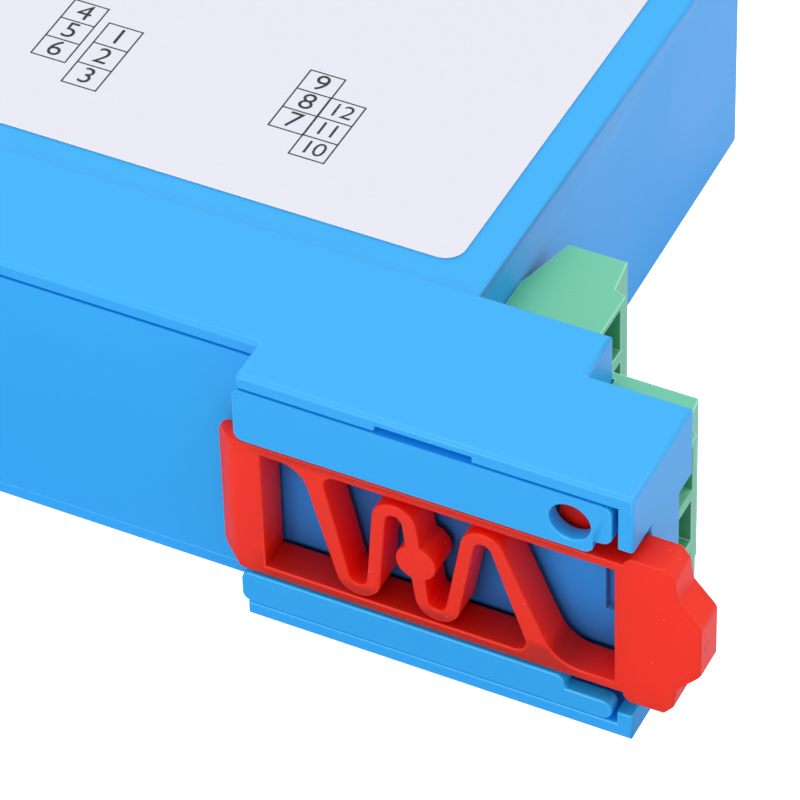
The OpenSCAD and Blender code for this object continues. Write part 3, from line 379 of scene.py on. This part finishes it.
def moulded(name, colour, cloud_colour, painted_shade_colour, grain, cloud, shader_settings):
    """A moulded plastic: its grain, its clouds, a roughness that varies with them, and a
    painted shade tint in its grooves and corners, mixed in by how open each place is."""
    material, tree, shader, place = new_material(name, shader_settings)
    clouds = add_node(tree, "ShaderNodeTexNoise", {
        "Scale": 1 / cloud, "Detail": 3, "Roughness": 0.5}, {"Vector": place})
    mix = add_node(tree, "ShaderNodeMix", {"data_type": "RGBA", 6: colour, 7: cloud_colour},
                   {0: clouds.outputs["Fac"]})
    # Painted shade: where little is open round a place, in grooves and corners, a shade colour is
    # mixed into the surface's own
    open_sky = add_node(tree, "ShaderNodeAmbientOcclusion", {
        "samples": SHADE_RAYS, "Distance": CORNER_REACH})
    openness = add_node(tree, "ShaderNodeMapRange", {"From Min": 0.25, "From Max": 0.85},
                        {"Value": open_sky.outputs["AO"]})
    tone = add_node(tree, "ShaderNodeMix", {"data_type": "RGBA", 6: painted_shade_colour},
                    {0: openness.outputs[0], 7: mix.outputs[2]})
    tree.links.new(tone.outputs[2], shader.inputs["Base Color"])
    grains = add_node(tree, "ShaderNodeTexNoise", {
        "Scale": 1 / grain, "Detail": 2, "Roughness": 0.55}, {"Vector": place})
    roughness = shader_settings["Roughness"]
    rough = add_node(tree, "ShaderNodeMapRange", {
        "From Min": 0.3, "From Max": 0.7, "To Min": roughness - ROUGHNESS_SPREAD,
        "To Max": roughness + ROUGHNESS_SPREAD}, {"Value": clouds.outputs["Fac"]})
    tree.links.new(rough.outputs[0], shader.inputs["Roughness"])
    bump = add_node(tree, "ShaderNodeBump", {"Strength": 0.12, "Distance": 0.01 * MM},
                    {"Height": grains.outputs["Fac"]})
    tree.links.new(bump.outputs[0], shader.inputs["Normal"])
    return material


def add_specks(material, pitch, size, colour):
    """Scatters small round specks of another colour over a material."""
    tree, base, place = started(material)
    cells = add_node(tree, "ShaderNodeTexVoronoi", {"Scale": 1 / pitch}, {"Vector": place})
    specks = add_node(tree, "ShaderNodeMapRange", {
        "From Min": 0.5 * size / pitch, "From Max": 0.25 * size / pitch, "To Max": 0.7},
        {"Value": cells.outputs["Distance"]})
    speckled = add_node(tree, "ShaderNodeMix", {"data_type": "RGBA", 7: colour},
                        {0: specks.outputs[0], 6: base.links[0].from_socket})
    tree.links.new(speckled.outputs[2], base)


def add_gate_mark(material, centre, radius, colour):
    """Draws the ring that the tool's gate leaves on a moulding."""
    tree, base, place = started(material)
    away = add_node(tree, "ShaderNodeVectorMath", {"operation": "DISTANCE", 1: centre},
                    {0: place})
    off = add_node(tree, "ShaderNodeMath", {"operation": "SUBTRACT", 1: radius}, {
        0: away.outputs["Value"]})
    gap = add_node(tree, "ShaderNodeMath", {"operation": "ABSOLUTE"}, {0: off.outputs[0]})
    ring = add_node(tree, "ShaderNodeMapRange", {
        "From Min": 0.4 * radius, "From Max": 0.1 * radius}, {"Value": gap.outputs[0]})
    marked = add_node(tree, "ShaderNodeMix", {"data_type": "RGBA", 7: colour},
                      {0: ring.outputs[0], 6: base.links[0].from_socket})
    tree.links.new(marked.outputs[2], base)


def highlighted(name, colour, grain, gloss):
    """The rounding along an edge: the plastic's own colour, a little lighter as a painted
    highlight, with a tight gloss that catches the floor."""
    return moulded(name, colour, colour, colour, grain, EDGE_CLOUD, {
        "Roughness": EDGE_ROUGHNESS, "IOR": PLASTIC_IOR, "Specular IOR Level": gloss,
        "Subsurface Weight": 0.1, "Subsurface Scale": 0.4 * MM})


def blue_abs(name, settings):
    """ABS moulded in a fine-blasted tool: a satin skin with a soft wide gloss, a little light
    inside the edges, and few pale specks."""
    material = moulded(
        name, settings.colour, settings.cloud_colour, settings.painted_shade_colour, settings.grain,
        settings.cloud, {
            "Roughness": settings.roughness, "IOR": PLASTIC_IOR,
            "Specular IOR Level": settings.gloss, "Subsurface Weight": 0.12,
            "Subsurface Radius": (0.3, 0.6, 1.0), "Subsurface Scale": 0.6 * MM})
    add_specks(material, settings.speck_pitch, settings.speck, settings.speck_colour)
    return material


def eroded_and_painted_shade_abs(settings):
    """The foot's ABS: the wall behind the clip keeps the spark-eroded skin of its tool, coarser
    than the polished strips in front of it, and is painted darker as shade, most in its corners."""
    material = blue_abs("spark_eroded_abs", settings)
    tree, base, place = started(material)
    tone = base.links[0].from_socket
    parts = add_node(tree, "ShaderNodeSeparateXYZ", links={0: place})
    beside = add_node(tree, "ShaderNodeMath", {
        "operation": "GREATER_THAN", 1: settings.eroded_from}, {0: parts.outputs["X"]})
    behind = add_node(tree, "ShaderNodeMath", {
        "operation": "GREATER_THAN", 1: -settings.eroded_front}, {0: parts.outputs["Y"]})
    zone = add_node(tree, "ShaderNodeMath", {"operation": "MULTIPLY"}, {
        0: beside.outputs[0], 1: behind.outputs[0]}).outputs[0]
    # Painted shade on the wall behind the clip: darker where little is open round a place
    open_sky = add_node(tree, "ShaderNodeAmbientOcclusion", {
        "samples": SHADE_RAYS, "Distance": WALL_REACH})
    openness = add_node(tree, "ShaderNodeMapRange", {"From Min": 0.38, "From Max": 0.7},
                        {"Value": open_sky.outputs["AO"]})
    wall = add_node(tree, "ShaderNodeMix", {
        "data_type": "RGBA", 6: settings.painted_shade_wall_corners, 7: settings.painted_shade_wall_colour},
        {0: openness.outputs[0]})
    pits = add_node(tree, "ShaderNodeTexNoise", {"Scale": 1 / settings.pit, "Detail": 2},
                    {"Vector": place})
    pitted = add_node(tree, "ShaderNodeMix", {
        "data_type": "RGBA", "blend_type": "MULTIPLY",
        7: darker((1, 1, 1), settings.pit_tone)},
        {0: pits.outputs["Fac"], 6: wall.outputs[2]})
    mix = add_node(tree, "ShaderNodeMix", {"data_type": "RGBA"}, {
        0: zone, 6: tone, 7: pitted.outputs[2]})
    tree.links.new(mix.outputs[2], base)
    dull = add_node(tree, "ShaderNodeMath", {
        "operation": "MULTIPLY_ADD", 1: settings.eroded_roughness - settings.roughness,
        2: settings.roughness}, {0: zone})
    tree.links.new(dull.outputs[0], tree.nodes["Principled BSDF"].inputs["Roughness"])
    add_specks(material, settings.dust_pitch, settings.dust_size, settings.dust)
    return material


def red_polyamide(settings):
    """Polyamide moulded in a polished tool: a soft gloss, light that runs through its thick
    parts, painted shade on the thin bars between the strips, and the fine dust that clings to it."""
    material = moulded(
        "moulded_polyamide", settings.colour, settings.flow_colour, settings.painted_shade_colour,
        settings.grain, settings.flow, {
            "Roughness": settings.roughness, "IOR": PLASTIC_IOR,
            "Specular IOR Level": settings.gloss, "Subsurface Weight": 0.7,
            "Subsurface Radius": (1.0, 0.2, 0.1), "Subsurface Scale": 2 * MM})
    tree, base, place = started(material)
    tone = base.links[0].from_socket
    parts = add_node(tree, "ShaderNodeSeparateXYZ", links={0: place})
    # Painted shade: the thin bars that run between the blue strips are mixed towards black
    low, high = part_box("rail_clip")
    height = add_node(tree, "ShaderNodeMath", {
        "operation": "SUBTRACT", 1: (low.z + high.z) / 2}, {0: parts.outputs["Z"]})
    away = add_node(tree, "ShaderNodeMath", {"operation": "ABSOLUTE"}, {0: height.outputs[0]})
    bars = add_node(tree, "ShaderNodeMapRange", {
        "From Min": settings.bar_from, "From Max": settings.bar_full,
        "To Max": settings.bar_painted_shade}, {"Value": away.outputs[0]})
    start = add_node(tree, "ShaderNodeMapRange", {
        "From Min": settings.bars_start, "From Max": settings.bars_start + settings.bars_in},
        {"Value": parts.outputs["X"]})
    end = add_node(tree, "ShaderNodeMapRange", {
        "From Min": settings.bars_end, "From Max": settings.bars_end - settings.bars_out},
        {"Value": parts.outputs["X"]})
    run = add_node(tree, "ShaderNodeMath", {"operation": "MULTIPLY"}, {
        0: start.outputs[0], 1: end.outputs[0]})
    zone = add_node(tree, "ShaderNodeMath", {"operation": "MULTIPLY"}, {
        0: bars.outputs[0], 1: run.outputs[0]})
    deeper = add_node(tree, "ShaderNodeMix", {"data_type": "RGBA", 7: (0, 0, 0, 1)}, {
        0: zone.outputs[0], 6: tone})
    tree.links.new(deeper.outputs[2], base)
    add_specks(material, settings.speck_pitch, settings.speck, settings.dust)
    add_gate_mark(material, settings.gate, settings.gate_radius, settings.gate_colour)
    return material


def green_polyamide(settings):
    """Glass-filled polyamide: a dull grain from the glass, with a faint gloss and few dark
    scuffs."""
    material = moulded(
        "glass_filled_polyamide", settings.colour, settings.cloud_colour, settings.painted_shade_colour,
        settings.grain, settings.cloud, {
            "Roughness": settings.roughness, "IOR": PLASTIC_IOR, "Subsurface Weight": 0.12,
            "Subsurface Radius": (0.4, 1.0, 0.7), "Subsurface Scale": 0.6 * MM})
    add_specks(material, settings.scuff_pitch, settings.scuff, settings.scuff_colour)
    return material


def label_film(settings):
    """Matt coated polyester film: nearly flat, with the faint waves of its adhesive."""
    material, tree, shader, place = new_material("matt_polyester_film", {
        "Base Color": settings.colour, "Roughness": 0.4, "IOR": 1.5})
    fibres = add_node(tree, "ShaderNodeTexNoise", {"Scale": 1 / settings.fibre, "Detail": 3},
                      {"Vector": place})
    tint = add_node(tree, "ShaderNodeMix", {
        "data_type": "RGBA", 6: settings.colour, 7: settings.fibre_colour},
        {0: fibres.outputs["Fac"]})
    tree.links.new(tint.outputs[2], shader.inputs["Base Color"])
    waves = add_node(tree, "ShaderNodeTexNoise", {"Scale": 1 / settings.wave, "Detail": 1},
                     {"Vector": place})
    bump = add_node(tree, "ShaderNodeBump", {"Strength": 0.3, "Distance": 0.02 * MM},
                    {"Height": waves.outputs["Fac"]})
    tree.links.new(bump.outputs[0], shader.inputs["Normal"])
    return material


def cut_edge(name, colour, nick):
    """The film's cut edge, a little nicked, in one colour: light on its rim as a painted
    highlight, or dark on its upright sides as a painted shadow line."""
    material, tree, shader, place = new_material(name, {
        "Base Color": colour, "Roughness": 0.6, "IOR": 1.5})
    nicks = add_node(tree, "ShaderNodeTexNoise", {"Scale": 1 / nick, "Detail": 2},
                     {"Vector": place})
    tint = add_node(tree, "ShaderNodeMix", {
        "data_type": "RGBA", 6: colour, 7: darker(colour, 0.85)}, {0: nicks.outputs["Fac"]})
    tree.links.new(tint.outputs[2], shader.inputs["Base Color"])
    return material


def label_ink(settings):
    """Thermal transfer ink: nearly black and a little broken where the film shows through."""
    material, tree, shader, place = new_material("thermal_transfer_ink", {
        "Roughness": 0.5, "IOR": 1.5})
    breaks = add_node(tree, "ShaderNodeTexNoise", {
        "Scale": 1 / settings.ink_break, "Detail": 2}, {"Vector": place})
    share = add_node(tree, "ShaderNodeMapRange", {
        "From Min": 0.62, "From Max": 0.8, "To Max": 0.6}, {"Value": breaks.outputs["Fac"]})
    tint = add_node(tree, "ShaderNodeMix", {
        "data_type": "RGBA", 6: settings.ink_colour, 7: settings.colour},
        {0: share.outputs[0]})
    tree.links.new(tint.outputs[2], shader.inputs["Base Color"])
    return material


def plated(name, colour, patch_colour, size, detail, dullest, brightest):
    """A plated metal, cloudy in patches that differ in colour and in gloss."""
    material, tree, shader, place = new_material(name, {"Base Color": colour, "Metallic": 1})
    patches = add_node(tree, "ShaderNodeTexNoise", {"Scale": 1 / size, "Detail": detail},
                       {"Vector": place})
    rough = add_node(tree, "ShaderNodeMapRange", {"To Min": brightest, "To Max": dullest},
                     {"Value": patches.outputs["Fac"]})
    tree.links.new(rough.outputs[0], shader.inputs["Roughness"])
    tint = add_node(tree, "ShaderNodeMix", {"data_type": "RGBA", 6: colour, 7: patch_colour},
                    {0: patches.outputs["Fac"]})
    tree.links.new(tint.outputs[2], shader.inputs["Base Color"])
    return material


def zinc_plating(settings):
    """Zinc-plated steel: bright, with small cloudy patches."""
    return plated("zinc_plated_steel", settings.zinc, settings.zinc_patch, size=0.8 * MM,
                  detail=4, dullest=0.42, brightest=0.22)


def tin_plating(settings):
    """Tinned brass: a pale warm metal, duller than the screws."""
    return plated("tinned_brass", settings.tin, settings.tin_patch, size=1.2 * MM,
                  detail=3, dullest=0.5, brightest=0.32)


def solder_mask(settings):
    """Green solder mask over copper: glossy, with paler tracks where copper lies under it."""
    material, tree, shader, place = new_material("solder_mask", {
        "Roughness": 0.28, "IOR": 1.5})
    tracks = add_node(tree, "ShaderNodeTexBrick", {
        "Color1": settings.mask, "Color2": settings.mask, "Mortar": settings.track,
        "Scale": 1 / (10 * MM), "Mortar Size": 0.03, "Mortar Smooth": 0.2,
        "Brick Width": 0.9, "Row Height": 0.16}, {"Vector": place})
    tree.links.new(tracks.outputs["Color"], shader.inputs["Base Color"])
    bump = add_node(tree, "ShaderNodeBump", {"Strength": 0.4, "Distance": 0.03 * MM},
                    {"Height": tracks.outputs["Fac"]})
    tree.links.new(bump.outputs[0], shader.inputs["Normal"])
    return material


def part_skin(name, colour, roughness, grain):
    """The skin of a part on the board, with its grain in colour, gloss and relief."""
    material, tree, shader, place = new_material(name, {
        "Base Color": colour, "Roughness": roughness})
    grains = add_node(tree, "ShaderNodeTexNoise", {"Scale": 1 / grain, "Detail": 3},
                      {"Vector": place})
    tint = add_node(tree, "ShaderNodeMix", {
        "data_type": "RGBA", 6: darker(colour, 0.75), 7: colour}, {0: grains.outputs["Fac"]})
    tree.links.new(tint.outputs[2], shader.inputs["Base Color"])
    rough = add_node(tree, "ShaderNodeMapRange", {
        "To Min": roughness - 0.08, "To Max": roughness + 0.08},
        {"Value": grains.outputs["Fac"]})
    tree.links.new(rough.outputs[0], shader.inputs["Roughness"])
    bump = add_node(tree, "ShaderNodeBump", {"Strength": 0.2, "Distance": 0.02 * MM},
                    {"Height": grains.outputs["Fac"]})
    tree.links.new(bump.outputs[0], shader.inputs["Normal"])
    return material


def studio_paper(settings):
    """Matt studio paper: nearly white, and grey-blue before the rail side, where the part's
    front takes its tone from it. For the camera alone it is cleared to white."""
    material, tree, shader, place = new_material("matt_studio_paper", {
        "Base Color": settings.floor_colour, "Roughness": 0.9,
        "Emission Color": (1, 1, 1, 1)})
    seen = add_node(tree, "ShaderNodeLightPath").outputs["Is Camera Ray"]
    glow = add_node(tree, "ShaderNodeMath", {
        "operation": "MULTIPLY", 1: settings.floor_glow}, {0: seen})
    tree.links.new(glow.outputs[0], shader.inputs["Emission Strength"])
    parts = add_node(tree, "ShaderNodeSeparateXYZ", links={0: place})
    start = add_node(tree, "ShaderNodeMapRange", {
        "From Min": settings.grey_from, "From Max": -settings.grey_full},
        {"Value": parts.outputs["Y"]})
    end = add_node(tree, "ShaderNodeMapRange", {
        "From Min": -settings.grey_faded, "From Max": -settings.grey_fades,
        "To Min": settings.grey_rest}, {"Value": parts.outputs["Y"]})
    grey = add_node(tree, "ShaderNodeMath", {"operation": "MULTIPLY"}, {
        0: start.outputs[0], 1: end.outputs[0]})
    paper = add_node(tree, "ShaderNodeMix", {
        "data_type": "RGBA", 6: settings.floor_colour, 7: settings.grey_colour},
        {0: grey.outputs[0]})
    tree.links.new(paper.outputs[2], shader.inputs["Base Color"])
    tooth = add_node(tree, "ShaderNodeTexNoise", {"Scale": 1 / settings.tooth},
                     {"Vector": place})
    bump = add_node(tree, "ShaderNodeBump", {"Strength": 0.1, "Distance": 0.02 * MM},
                    {"Height": tooth.outputs["Fac"]})
    tree.links.new(bump.outputs[0], shader.inputs["Normal"])
    return material


# Making and finishing pieces


def select_only(piece):
    """Leaves just this object selected and active."""
    bpy.ops.object.select_all(action="DESELECT")
    piece.select_set(True)
    bpy.context.view_layer.objects.active = piece


def paint(piece, *materials):
    """Gives an object these materials, in this order, in place of those it has."""
    piece.data.materials.clear()
    for material in materials:
        piece.data.materials.append(material)


def hidden(place):
    """Whether a place lies in the closed hollow of the case, where no rounding shows."""
    low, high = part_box("main_board")
    return (abs(place.z) < HOLLOW_DEPTH and low.y < place.y < high.y + HOLLOW_TOP
            and (abs(place.x) < HOLLOW_ABOVE
                 or abs(place.x) < HOLLOW_BELOW and place.y < HOLLOW_STEP))


def own_copy(node, name):
    """A copy of a CAD node with its loose triangles merged into whole faces."""
    select_only(frame["nodes"][node])
    bpy.ops.object.duplicate(linked=False)
    piece = bpy.context.view_layer.objects.active
    piece.name = name
    piece.parent = None
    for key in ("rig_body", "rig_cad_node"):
        if key in piece:
            del piece[key]
    bpy.ops.object.mode_set(mode="EDIT")
    bpy.ops.mesh.select_all(action="SELECT")
    bpy.ops.mesh.remove_doubles(threshold=MERGE)
    bpy.ops.mesh.dissolve_limited(angle_limit=FLAT)
    bpy.ops.object.mode_set(mode="OBJECT")
    return piece


def edge_room(edge):
    """How far an edge can be rounded before it meets the next edge on either side."""
    run = (edge.verts[1].co - edge.verts[0].co).normalized()
    rooms = []
    for vert in edge.verts:
        for other in vert.link_edges:
            reach = other.other_vert(vert).co - vert.co
            across = reach.cross(run).length
            if other is not edge and across > ASIDE * reach.length:
                rooms.append(across)
    return min(rooms, default=math.inf)


def mark_edges(piece, width, keep_sharp):
    """Gives each sharp edge its share of the rounding, and none near the places to keep."""
    mesh = bmesh.new()
    mesh.from_mesh(piece.data)
    share = mesh.edges.layers.float.get("bevel_weight_edge") or mesh.edges.layers.float.new(
        "bevel_weight_edge")
    for edge in mesh.edges:
        middle = (edge.verts[0].co + edge.verts[1].co) / 2
        near = any((vert.co - place).length < KEEP_OFF * width
                   for vert in edge.verts for place in keep_sharp)
        if edge.calc_face_angle(0) < SHARP or near or hidden(middle):
            edge[share] = 0
        else:
            edge[share] = min(1, ROUNDING_SHARE * edge_room(edge) / width)
    mesh.to_mesh(piece.data)
    mesh.free()


def folds(piece):
    """Corners of the triangles that lie against their own face after a rounding."""
    mesh = piece.data
    mesh.calc_loop_triangles()
    found = []
    for triangle in mesh.loop_triangles:
        corners = [mesh.vertices[i].co for i in triangle.vertices]
        normal = (corners[1] - corners[0]).cross(corners[2] - corners[0])
        if normal.length > FOLD_AREA and normal.normalized().dot(
                mesh.polygons[triangle.polygon_index].normal) < FOLD_TURN:
            found += [corner.copy() for corner in corners]
    return found


def round_edges(piece, width):
    """Rounds the sharp edges of a moulding as its tool leaves them. Where a rounding would
    fold its face, that corner stays sharp and the rounding is made again."""
    sharp = piece.data.copy()
    keep_sharp = []
    for attempt in range(ROUNDING_TRIES):
        mark_edges(piece, width, keep_sharp)
        select_only(piece)
        bpy.ops.object.modifier_add(type="BEVEL")
        bevel = piece.modifiers[-1]
        bevel.width = width
        bevel.segments = ROUNDING_STEPS
        bevel.limit_method = "WEIGHT"
        bevel.use_clamp_overlap = False
        # The roundings take the second material, the edge skin with its painted highlight
        bevel.material = 1
        bpy.ops.object.modifier_apply(modifier=bevel.name)
        found = folds(piece)
        if not found or attempt == ROUNDING_TRIES - 1:
            break
        keep_sharp += found
        piece.data = sharp.copy()
    bpy.ops.object.shade_smooth_by_angle(angle=SMOOTH)
    bpy.ops.object.modifier_add(type="WEIGHTED_NORMAL")
    weighted = piece.modifiers[-1]
    weighted.keep_sharp = True
    bpy.ops.object.modifier_apply(modifier=weighted.name)


def stand_in(node, skin, highlight_edge_skin, width, body=CASE):
    """Rounds a copy of a CAD node with another skin on the roundings, for the node itself."""
    piece = own_copy(node, node + "_moulding")
    paint(piece, skin, highlight_edge_skin)
    round_edges(piece, width)
    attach(piece, body)
    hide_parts(node)
    return piece


class HousingPieces(bpy.types.Operator):
    """Makes the blue shell and its foot, with the edges that the tool leaves"""
    bl_idname = "transmitter.housing"
    bl_label = "Housing"

    def execute(self, context):
        settings = context.scene.transmitter_housing
        highlight_edge_skin = highlighted(
            "burnished_abs", settings.painted_edge_highlight, settings.grain, settings.edge_gloss)
        shell = stand_in("housing_shell", blue_abs("satin_moulded_abs", settings), highlight_edge_skin,
                         settings.edge)
        foot = stand_in("rail_foot", eroded_and_painted_shade_abs(settings), highlight_edge_skin, settings.edge)
        return {"FINISHED"}


class ClipPiece(bpy.types.Operator):
    """Makes the red rail clip with its spring and handle"""
    bl_idname = "transmitter.clip"
    bl_label = "Rail clip"

    def execute(self, context):
        settings = context.scene.transmitter_clip
        highlight_edge_skin = highlighted(
            "burnished_polyamide", settings.painted_edge_highlight, settings.grain, settings.edge_gloss)
        piece = stand_in("rail_clip", red_polyamide(settings), highlight_edge_skin, settings.edge, CLIP)
        return {"FINISHED"}


class TerminalPieces(bpy.types.Operator):
    """Makes the green terminal blocks and plates their screws, clamps and pins"""
    bl_idname = "transmitter.terminals"
    bl_label = "Terminals"

    def execute(self, context):
        settings = context.scene.transmitter_terminals
        skin = green_polyamide(settings)
        highlight_edge_skin = highlighted(
            "burnished_glass_filled", settings.painted_edge_highlight, settings.grain, settings.edge_gloss)
        for side in SIDES:
            for level in LEVELS:
                piece = stand_in(
                    f"terminal_block_{side}_{level}", skin, highlight_edge_skin, settings.edge)
        paint(frame["nodes"]["clamp_screws"], zinc_plating(settings))
        tinned = tin_plating(settings)
        for node in ("clamp_cages", "terminal_pins"):
            paint(frame["nodes"][node], tinned)
        return {"FINISHED"}


# Columns of number boxes: left edge, top edge and height of a box in millimetres, along the
# label from its middle and up from its lower edge, then the numbers from the top down
NUMBER_COLUMNS = (
    (-11.2, 14.9, 2.3, "456"),
    (-7.62, 13.5, 2.49, "123"),
    (8.27, 14.88, 2.31, "987"),
    (11.03, 12.6, 2.3, ("12", "11", "10")),
)
EDGE_SHADOW_SLOT = 2  # place of the upright sides' material, a painted shadow line, after the film's and the rim's


def on_label(settings):
    """The place of the label's lower edge, with its tilt, as a matrix."""
    low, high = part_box("side_label")
    return Matrix.Translation((0, low.y, high.z + settings.clear)) @ Matrix.Rotation(
        -settings.tilt, 4, "X")


def box_column(settings, left, top, height, count):
    """One column of printed boxes: a grid whose edges become flat lines of one width."""
    width = settings.cell_width
    bpy.ops.object.select_all(action="DESELECT")
    bpy.ops.mesh.primitive_grid_add(
        x_subdivisions=1, y_subdivisions=count, size=1,
        location=(left * MM + width / 2, (top - count * height / 2) * MM, 0))
    column = bpy.context.view_layer.objects.active
    column.scale = (width, count * height * MM, 1)
    bpy.ops.object.transform_apply(location=True, rotation=False, scale=True)
    bpy.ops.object.modifier_add(type="WIREFRAME")
    lines = column.modifiers[-1]
    lines.thickness = settings.line
    lines.use_boundary = True
    bpy.ops.object.modifier_apply(modifier=lines.name)
    column.scale.z = settings.ink / settings.line
    column.location.z = settings.ink / 2
    bpy.ops.object.transform_apply(location=True, rotation=False, scale=True)
    return column


def printed_number(settings, text, x, y):
    """One plain number, drawn flat and made a mesh. Its place is in millimetres."""
    bpy.ops.object.select_all(action="DESELECT")
    bpy.ops.object.text_add(location=(0, 0, 0))
    number = bpy.context.view_layer.objects.active
    number.data.body = text
    number.data.size = settings.number_size if len(text) == 1 else settings.pair_size
    number.data.space_character = settings.pair_spacing
    number.data.align_x = "CENTER"
    number.data.align_y = "CENTER"
    number.data.extrude = settings.ink / 2
    number.data.offset = -settings.thin
    bpy.ops.object.convert(target="MESH")
    number.location = (x * MM, y * MM, settings.ink / 2)
    bpy.ops.object.transform_apply(location=True, rotation=False, scale=False)
    return number


class LabelPieces(bpy.types.Operator):
    """Makes the label's film and prints the terminals' numbers in their boxes"""
    bl_idname = "transmitter.label"
    bl_label = "Label"

    def execute(self, context):
        settings = context.scene.transmitter_label
        rim = cut_edge("bare_polyester_edge", settings.painted_rim_highlight, settings.nick)
        film = stand_in("side_label", label_film(settings), rim, settings.edge)
        # The upright sides of the film get a dark painted shadow line
        film.data.materials.append(
            cut_edge("adhesive_edge", settings.painted_edge_shadow, settings.nick))
        for face in film.data.polygons:
            if abs(face.normal.z) < UPRIGHT:
                face.material_index = EDGE_SHADOW_SLOT
        prints = []
        for left, top, height, numbers in NUMBER_COLUMNS:
            prints.append(box_column(settings, left, top, height, len(numbers)))
            middle = left + settings.cell_width / MM / 2
            for row, text in enumerate(numbers):
                prints.append(printed_number(
                    settings, text, middle, top - (row + 0.5) * height))
        bpy.ops.object.select_all(action="DESELECT")
        for piece in prints:
            piece.select_set(True)
        bpy.context.view_layer.objects.active = prints[0]
        bpy.ops.object.join()
        print_piece = prints[0]
        print_piece.name = "label_numbers"
        print_piece.data.transform(on_label(settings))
        paint(print_piece, label_ink(settings))
        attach(print_piece, CASE)
        return {"FINISHED"}


# Skins of the parts on the main board: the material, the setting of its colour, its
# roughness, its grain in millimetres, as coarse as it needs to show, and its nodes
PART_SKINS = (
    # A satin dark blue case
    ("potted_case", "potted", 0.35, 0.3, ("input_transformer",)),
    # Matt grey ceramic with fine pores
    ("ground_ferrite", "ferrite", 0.6, 0.15, ("supply_transformer_core",)),
    # Shiny amber tape with soft creases
    ("polyester_tape", "tape", 0.3, 1.5, ("supply_transformer_coil",)),
    # Glossy black sleeve drawn tight
    ("shrink_sleeve", "sleeve", 0.25, 2, ("supply_capacitors",)),
    # A thick shiny red dip
    ("dipped_epoxy", "film", 0.2, 2.5, ("film_capacitor",)),
    # A satin blue case
    ("moulded_polyester", "trimmer", 0.4, 0.3, ("zero_trimmer", "span_trimmer")),
    # Dull black resin with a fine grain
    ("moulded_epoxy", "epoxy", 0.5, 0.2, (
        "amplifier_chips", "isolating_couplers", "voltage_regulator", "protection_diodes")),
    # A rough sandy coating
    ("cement_coating", "cement", 0.7, 0.25, ("measuring_resistor",)),
)


class BoardPieces(bpy.types.Operator):
    """Finishes the boards and the parts inside the case"""
    bl_idname = "transmitter.boards"
    bl_label = "Boards"

    def execute(self, context):
        settings = context.scene.transmitter_boards
        mask = solder_mask(settings)
        for node in ("main_board", "terminal_boards"):
            paint(frame["nodes"][node], mask)
        for name, colour, roughness, grain, nodes in PART_SKINS:
            skin = part_skin(name, getattr(settings, colour), roughness, grain * MM)
            for node in nodes:
                paint(frame["nodes"][node], skin)
        return {"FINISHED"}


def soft_light(name, place, target, size, power):
    """A soft square light that faces a point."""
    bpy.ops.object.select_all(action="DESELECT")
    bpy.ops.object.light_add(type="AREA", location=place)
    light = bpy.context.view_layer.objects.active
    light.name = name
    light.data.size = size
    light.data.energy = power
    light.rotation_euler = (target - place).to_track_quat("-Z", "Y").to_euler()


class Stage(bpy.types.Operator):
    """Sets the floor, the lights and the camera"""
    bl_idname = "transmitter.stage"
    bl_label = "Stage"

    def execute(self, context):
        settings = context.scene.transmitter_stage
        bpy.ops.object.select_all(action="DESELECT")
        bpy.ops.mesh.primitive_plane_add(
            size=settings.floor_size, location=(0, 0, CAD_BOX[0][2] - settings.floor_gap))
        floor = bpy.context.view_layer.objects.active
        floor.name = "floor"
        bpy.ops.object.transform_apply(location=True, rotation=False, scale=False)
        paint(floor, studio_paper(settings))

        world = bpy.data.worlds.new("soft_studio")
        world.use_nodes = True
        background = world.node_tree.nodes["Background"]
        background.inputs["Color"].default_value = (1, 1, 1, 1)
        background.inputs["Strength"].default_value = settings.world_strength
        context.scene.world = world
        soft_light("key_light", settings.key_place, settings.lit_place, settings.key_size,
                   settings.key_power)
        soft_light("fill_light", settings.fill_place, settings.lit_place, settings.fill_size,
                   settings.fill_power)

        right = Vector(settings.camera_right)
        up = Vector(settings.camera_up)
        bpy.ops.object.camera_add()
        camera = bpy.context.view_layer.objects.active
        camera.name = "photo_camera"
        turn = Matrix((right, up, right.cross(up))).transposed()
        camera.matrix_world = Matrix.Translation(settings.camera_place) @ turn.to_4x4()
        camera.data.sensor_width = settings.sensor
        camera.data.lens = settings.lens
        camera.data.clip_start = settings.near
        context.scene.camera = camera
        context.scene.view_settings.view_transform = "Standard"
        return {"FINISHED"}


OPERATORS = (HousingPieces, ClipPiece, TerminalPieces, LabelPieces, BoardPieces, Stage)


class TransmitterPanel(bpy.types.Panel):
    """Lists the steps that make the transmitter"""
    bl_idname = "VIEW3D_PT_transmitter"
    bl_label = "Current transmitter"
    bl_space_type = "VIEW_3D"
    bl_region_type = "UI"
    bl_category = "Transmitter"

    def draw(self, context):
        for operator in OPERATORS:
            self.layout.operator(operator.bl_idname)


def register():
    """Adds the settings, the operators and the panel to Blender."""
    for name, group in SETTINGS.items():
        bpy.utils.register_class(group)
        setattr(bpy.types.Scene, name, PointerProperty(type=group))
    for kind in (*OPERATORS, TransmitterPanel):
        bpy.utils.register_class(kind)


def unregister():
    """Takes the panel, the operators and the settings out again."""
    for kind in (TransmitterPanel, *reversed(OPERATORS)):
        bpy.utils.unregister_class(kind)
    for name, group in reversed(SETTINGS.items()):
        delattr(bpy.types.Scene, name)
        bpy.utils.unregister_class(group)


def main():
    """Makes every piece in order."""
    register()
    bpy.ops.transmitter.housing()
    bpy.ops.transmitter.clip()
    bpy.ops.transmitter.terminals()
    bpy.ops.transmitter.label()
    bpy.ops.transmitter.boards()
    bpy.ops.transmitter.stage()


if __name__ == "__main__":
    main()
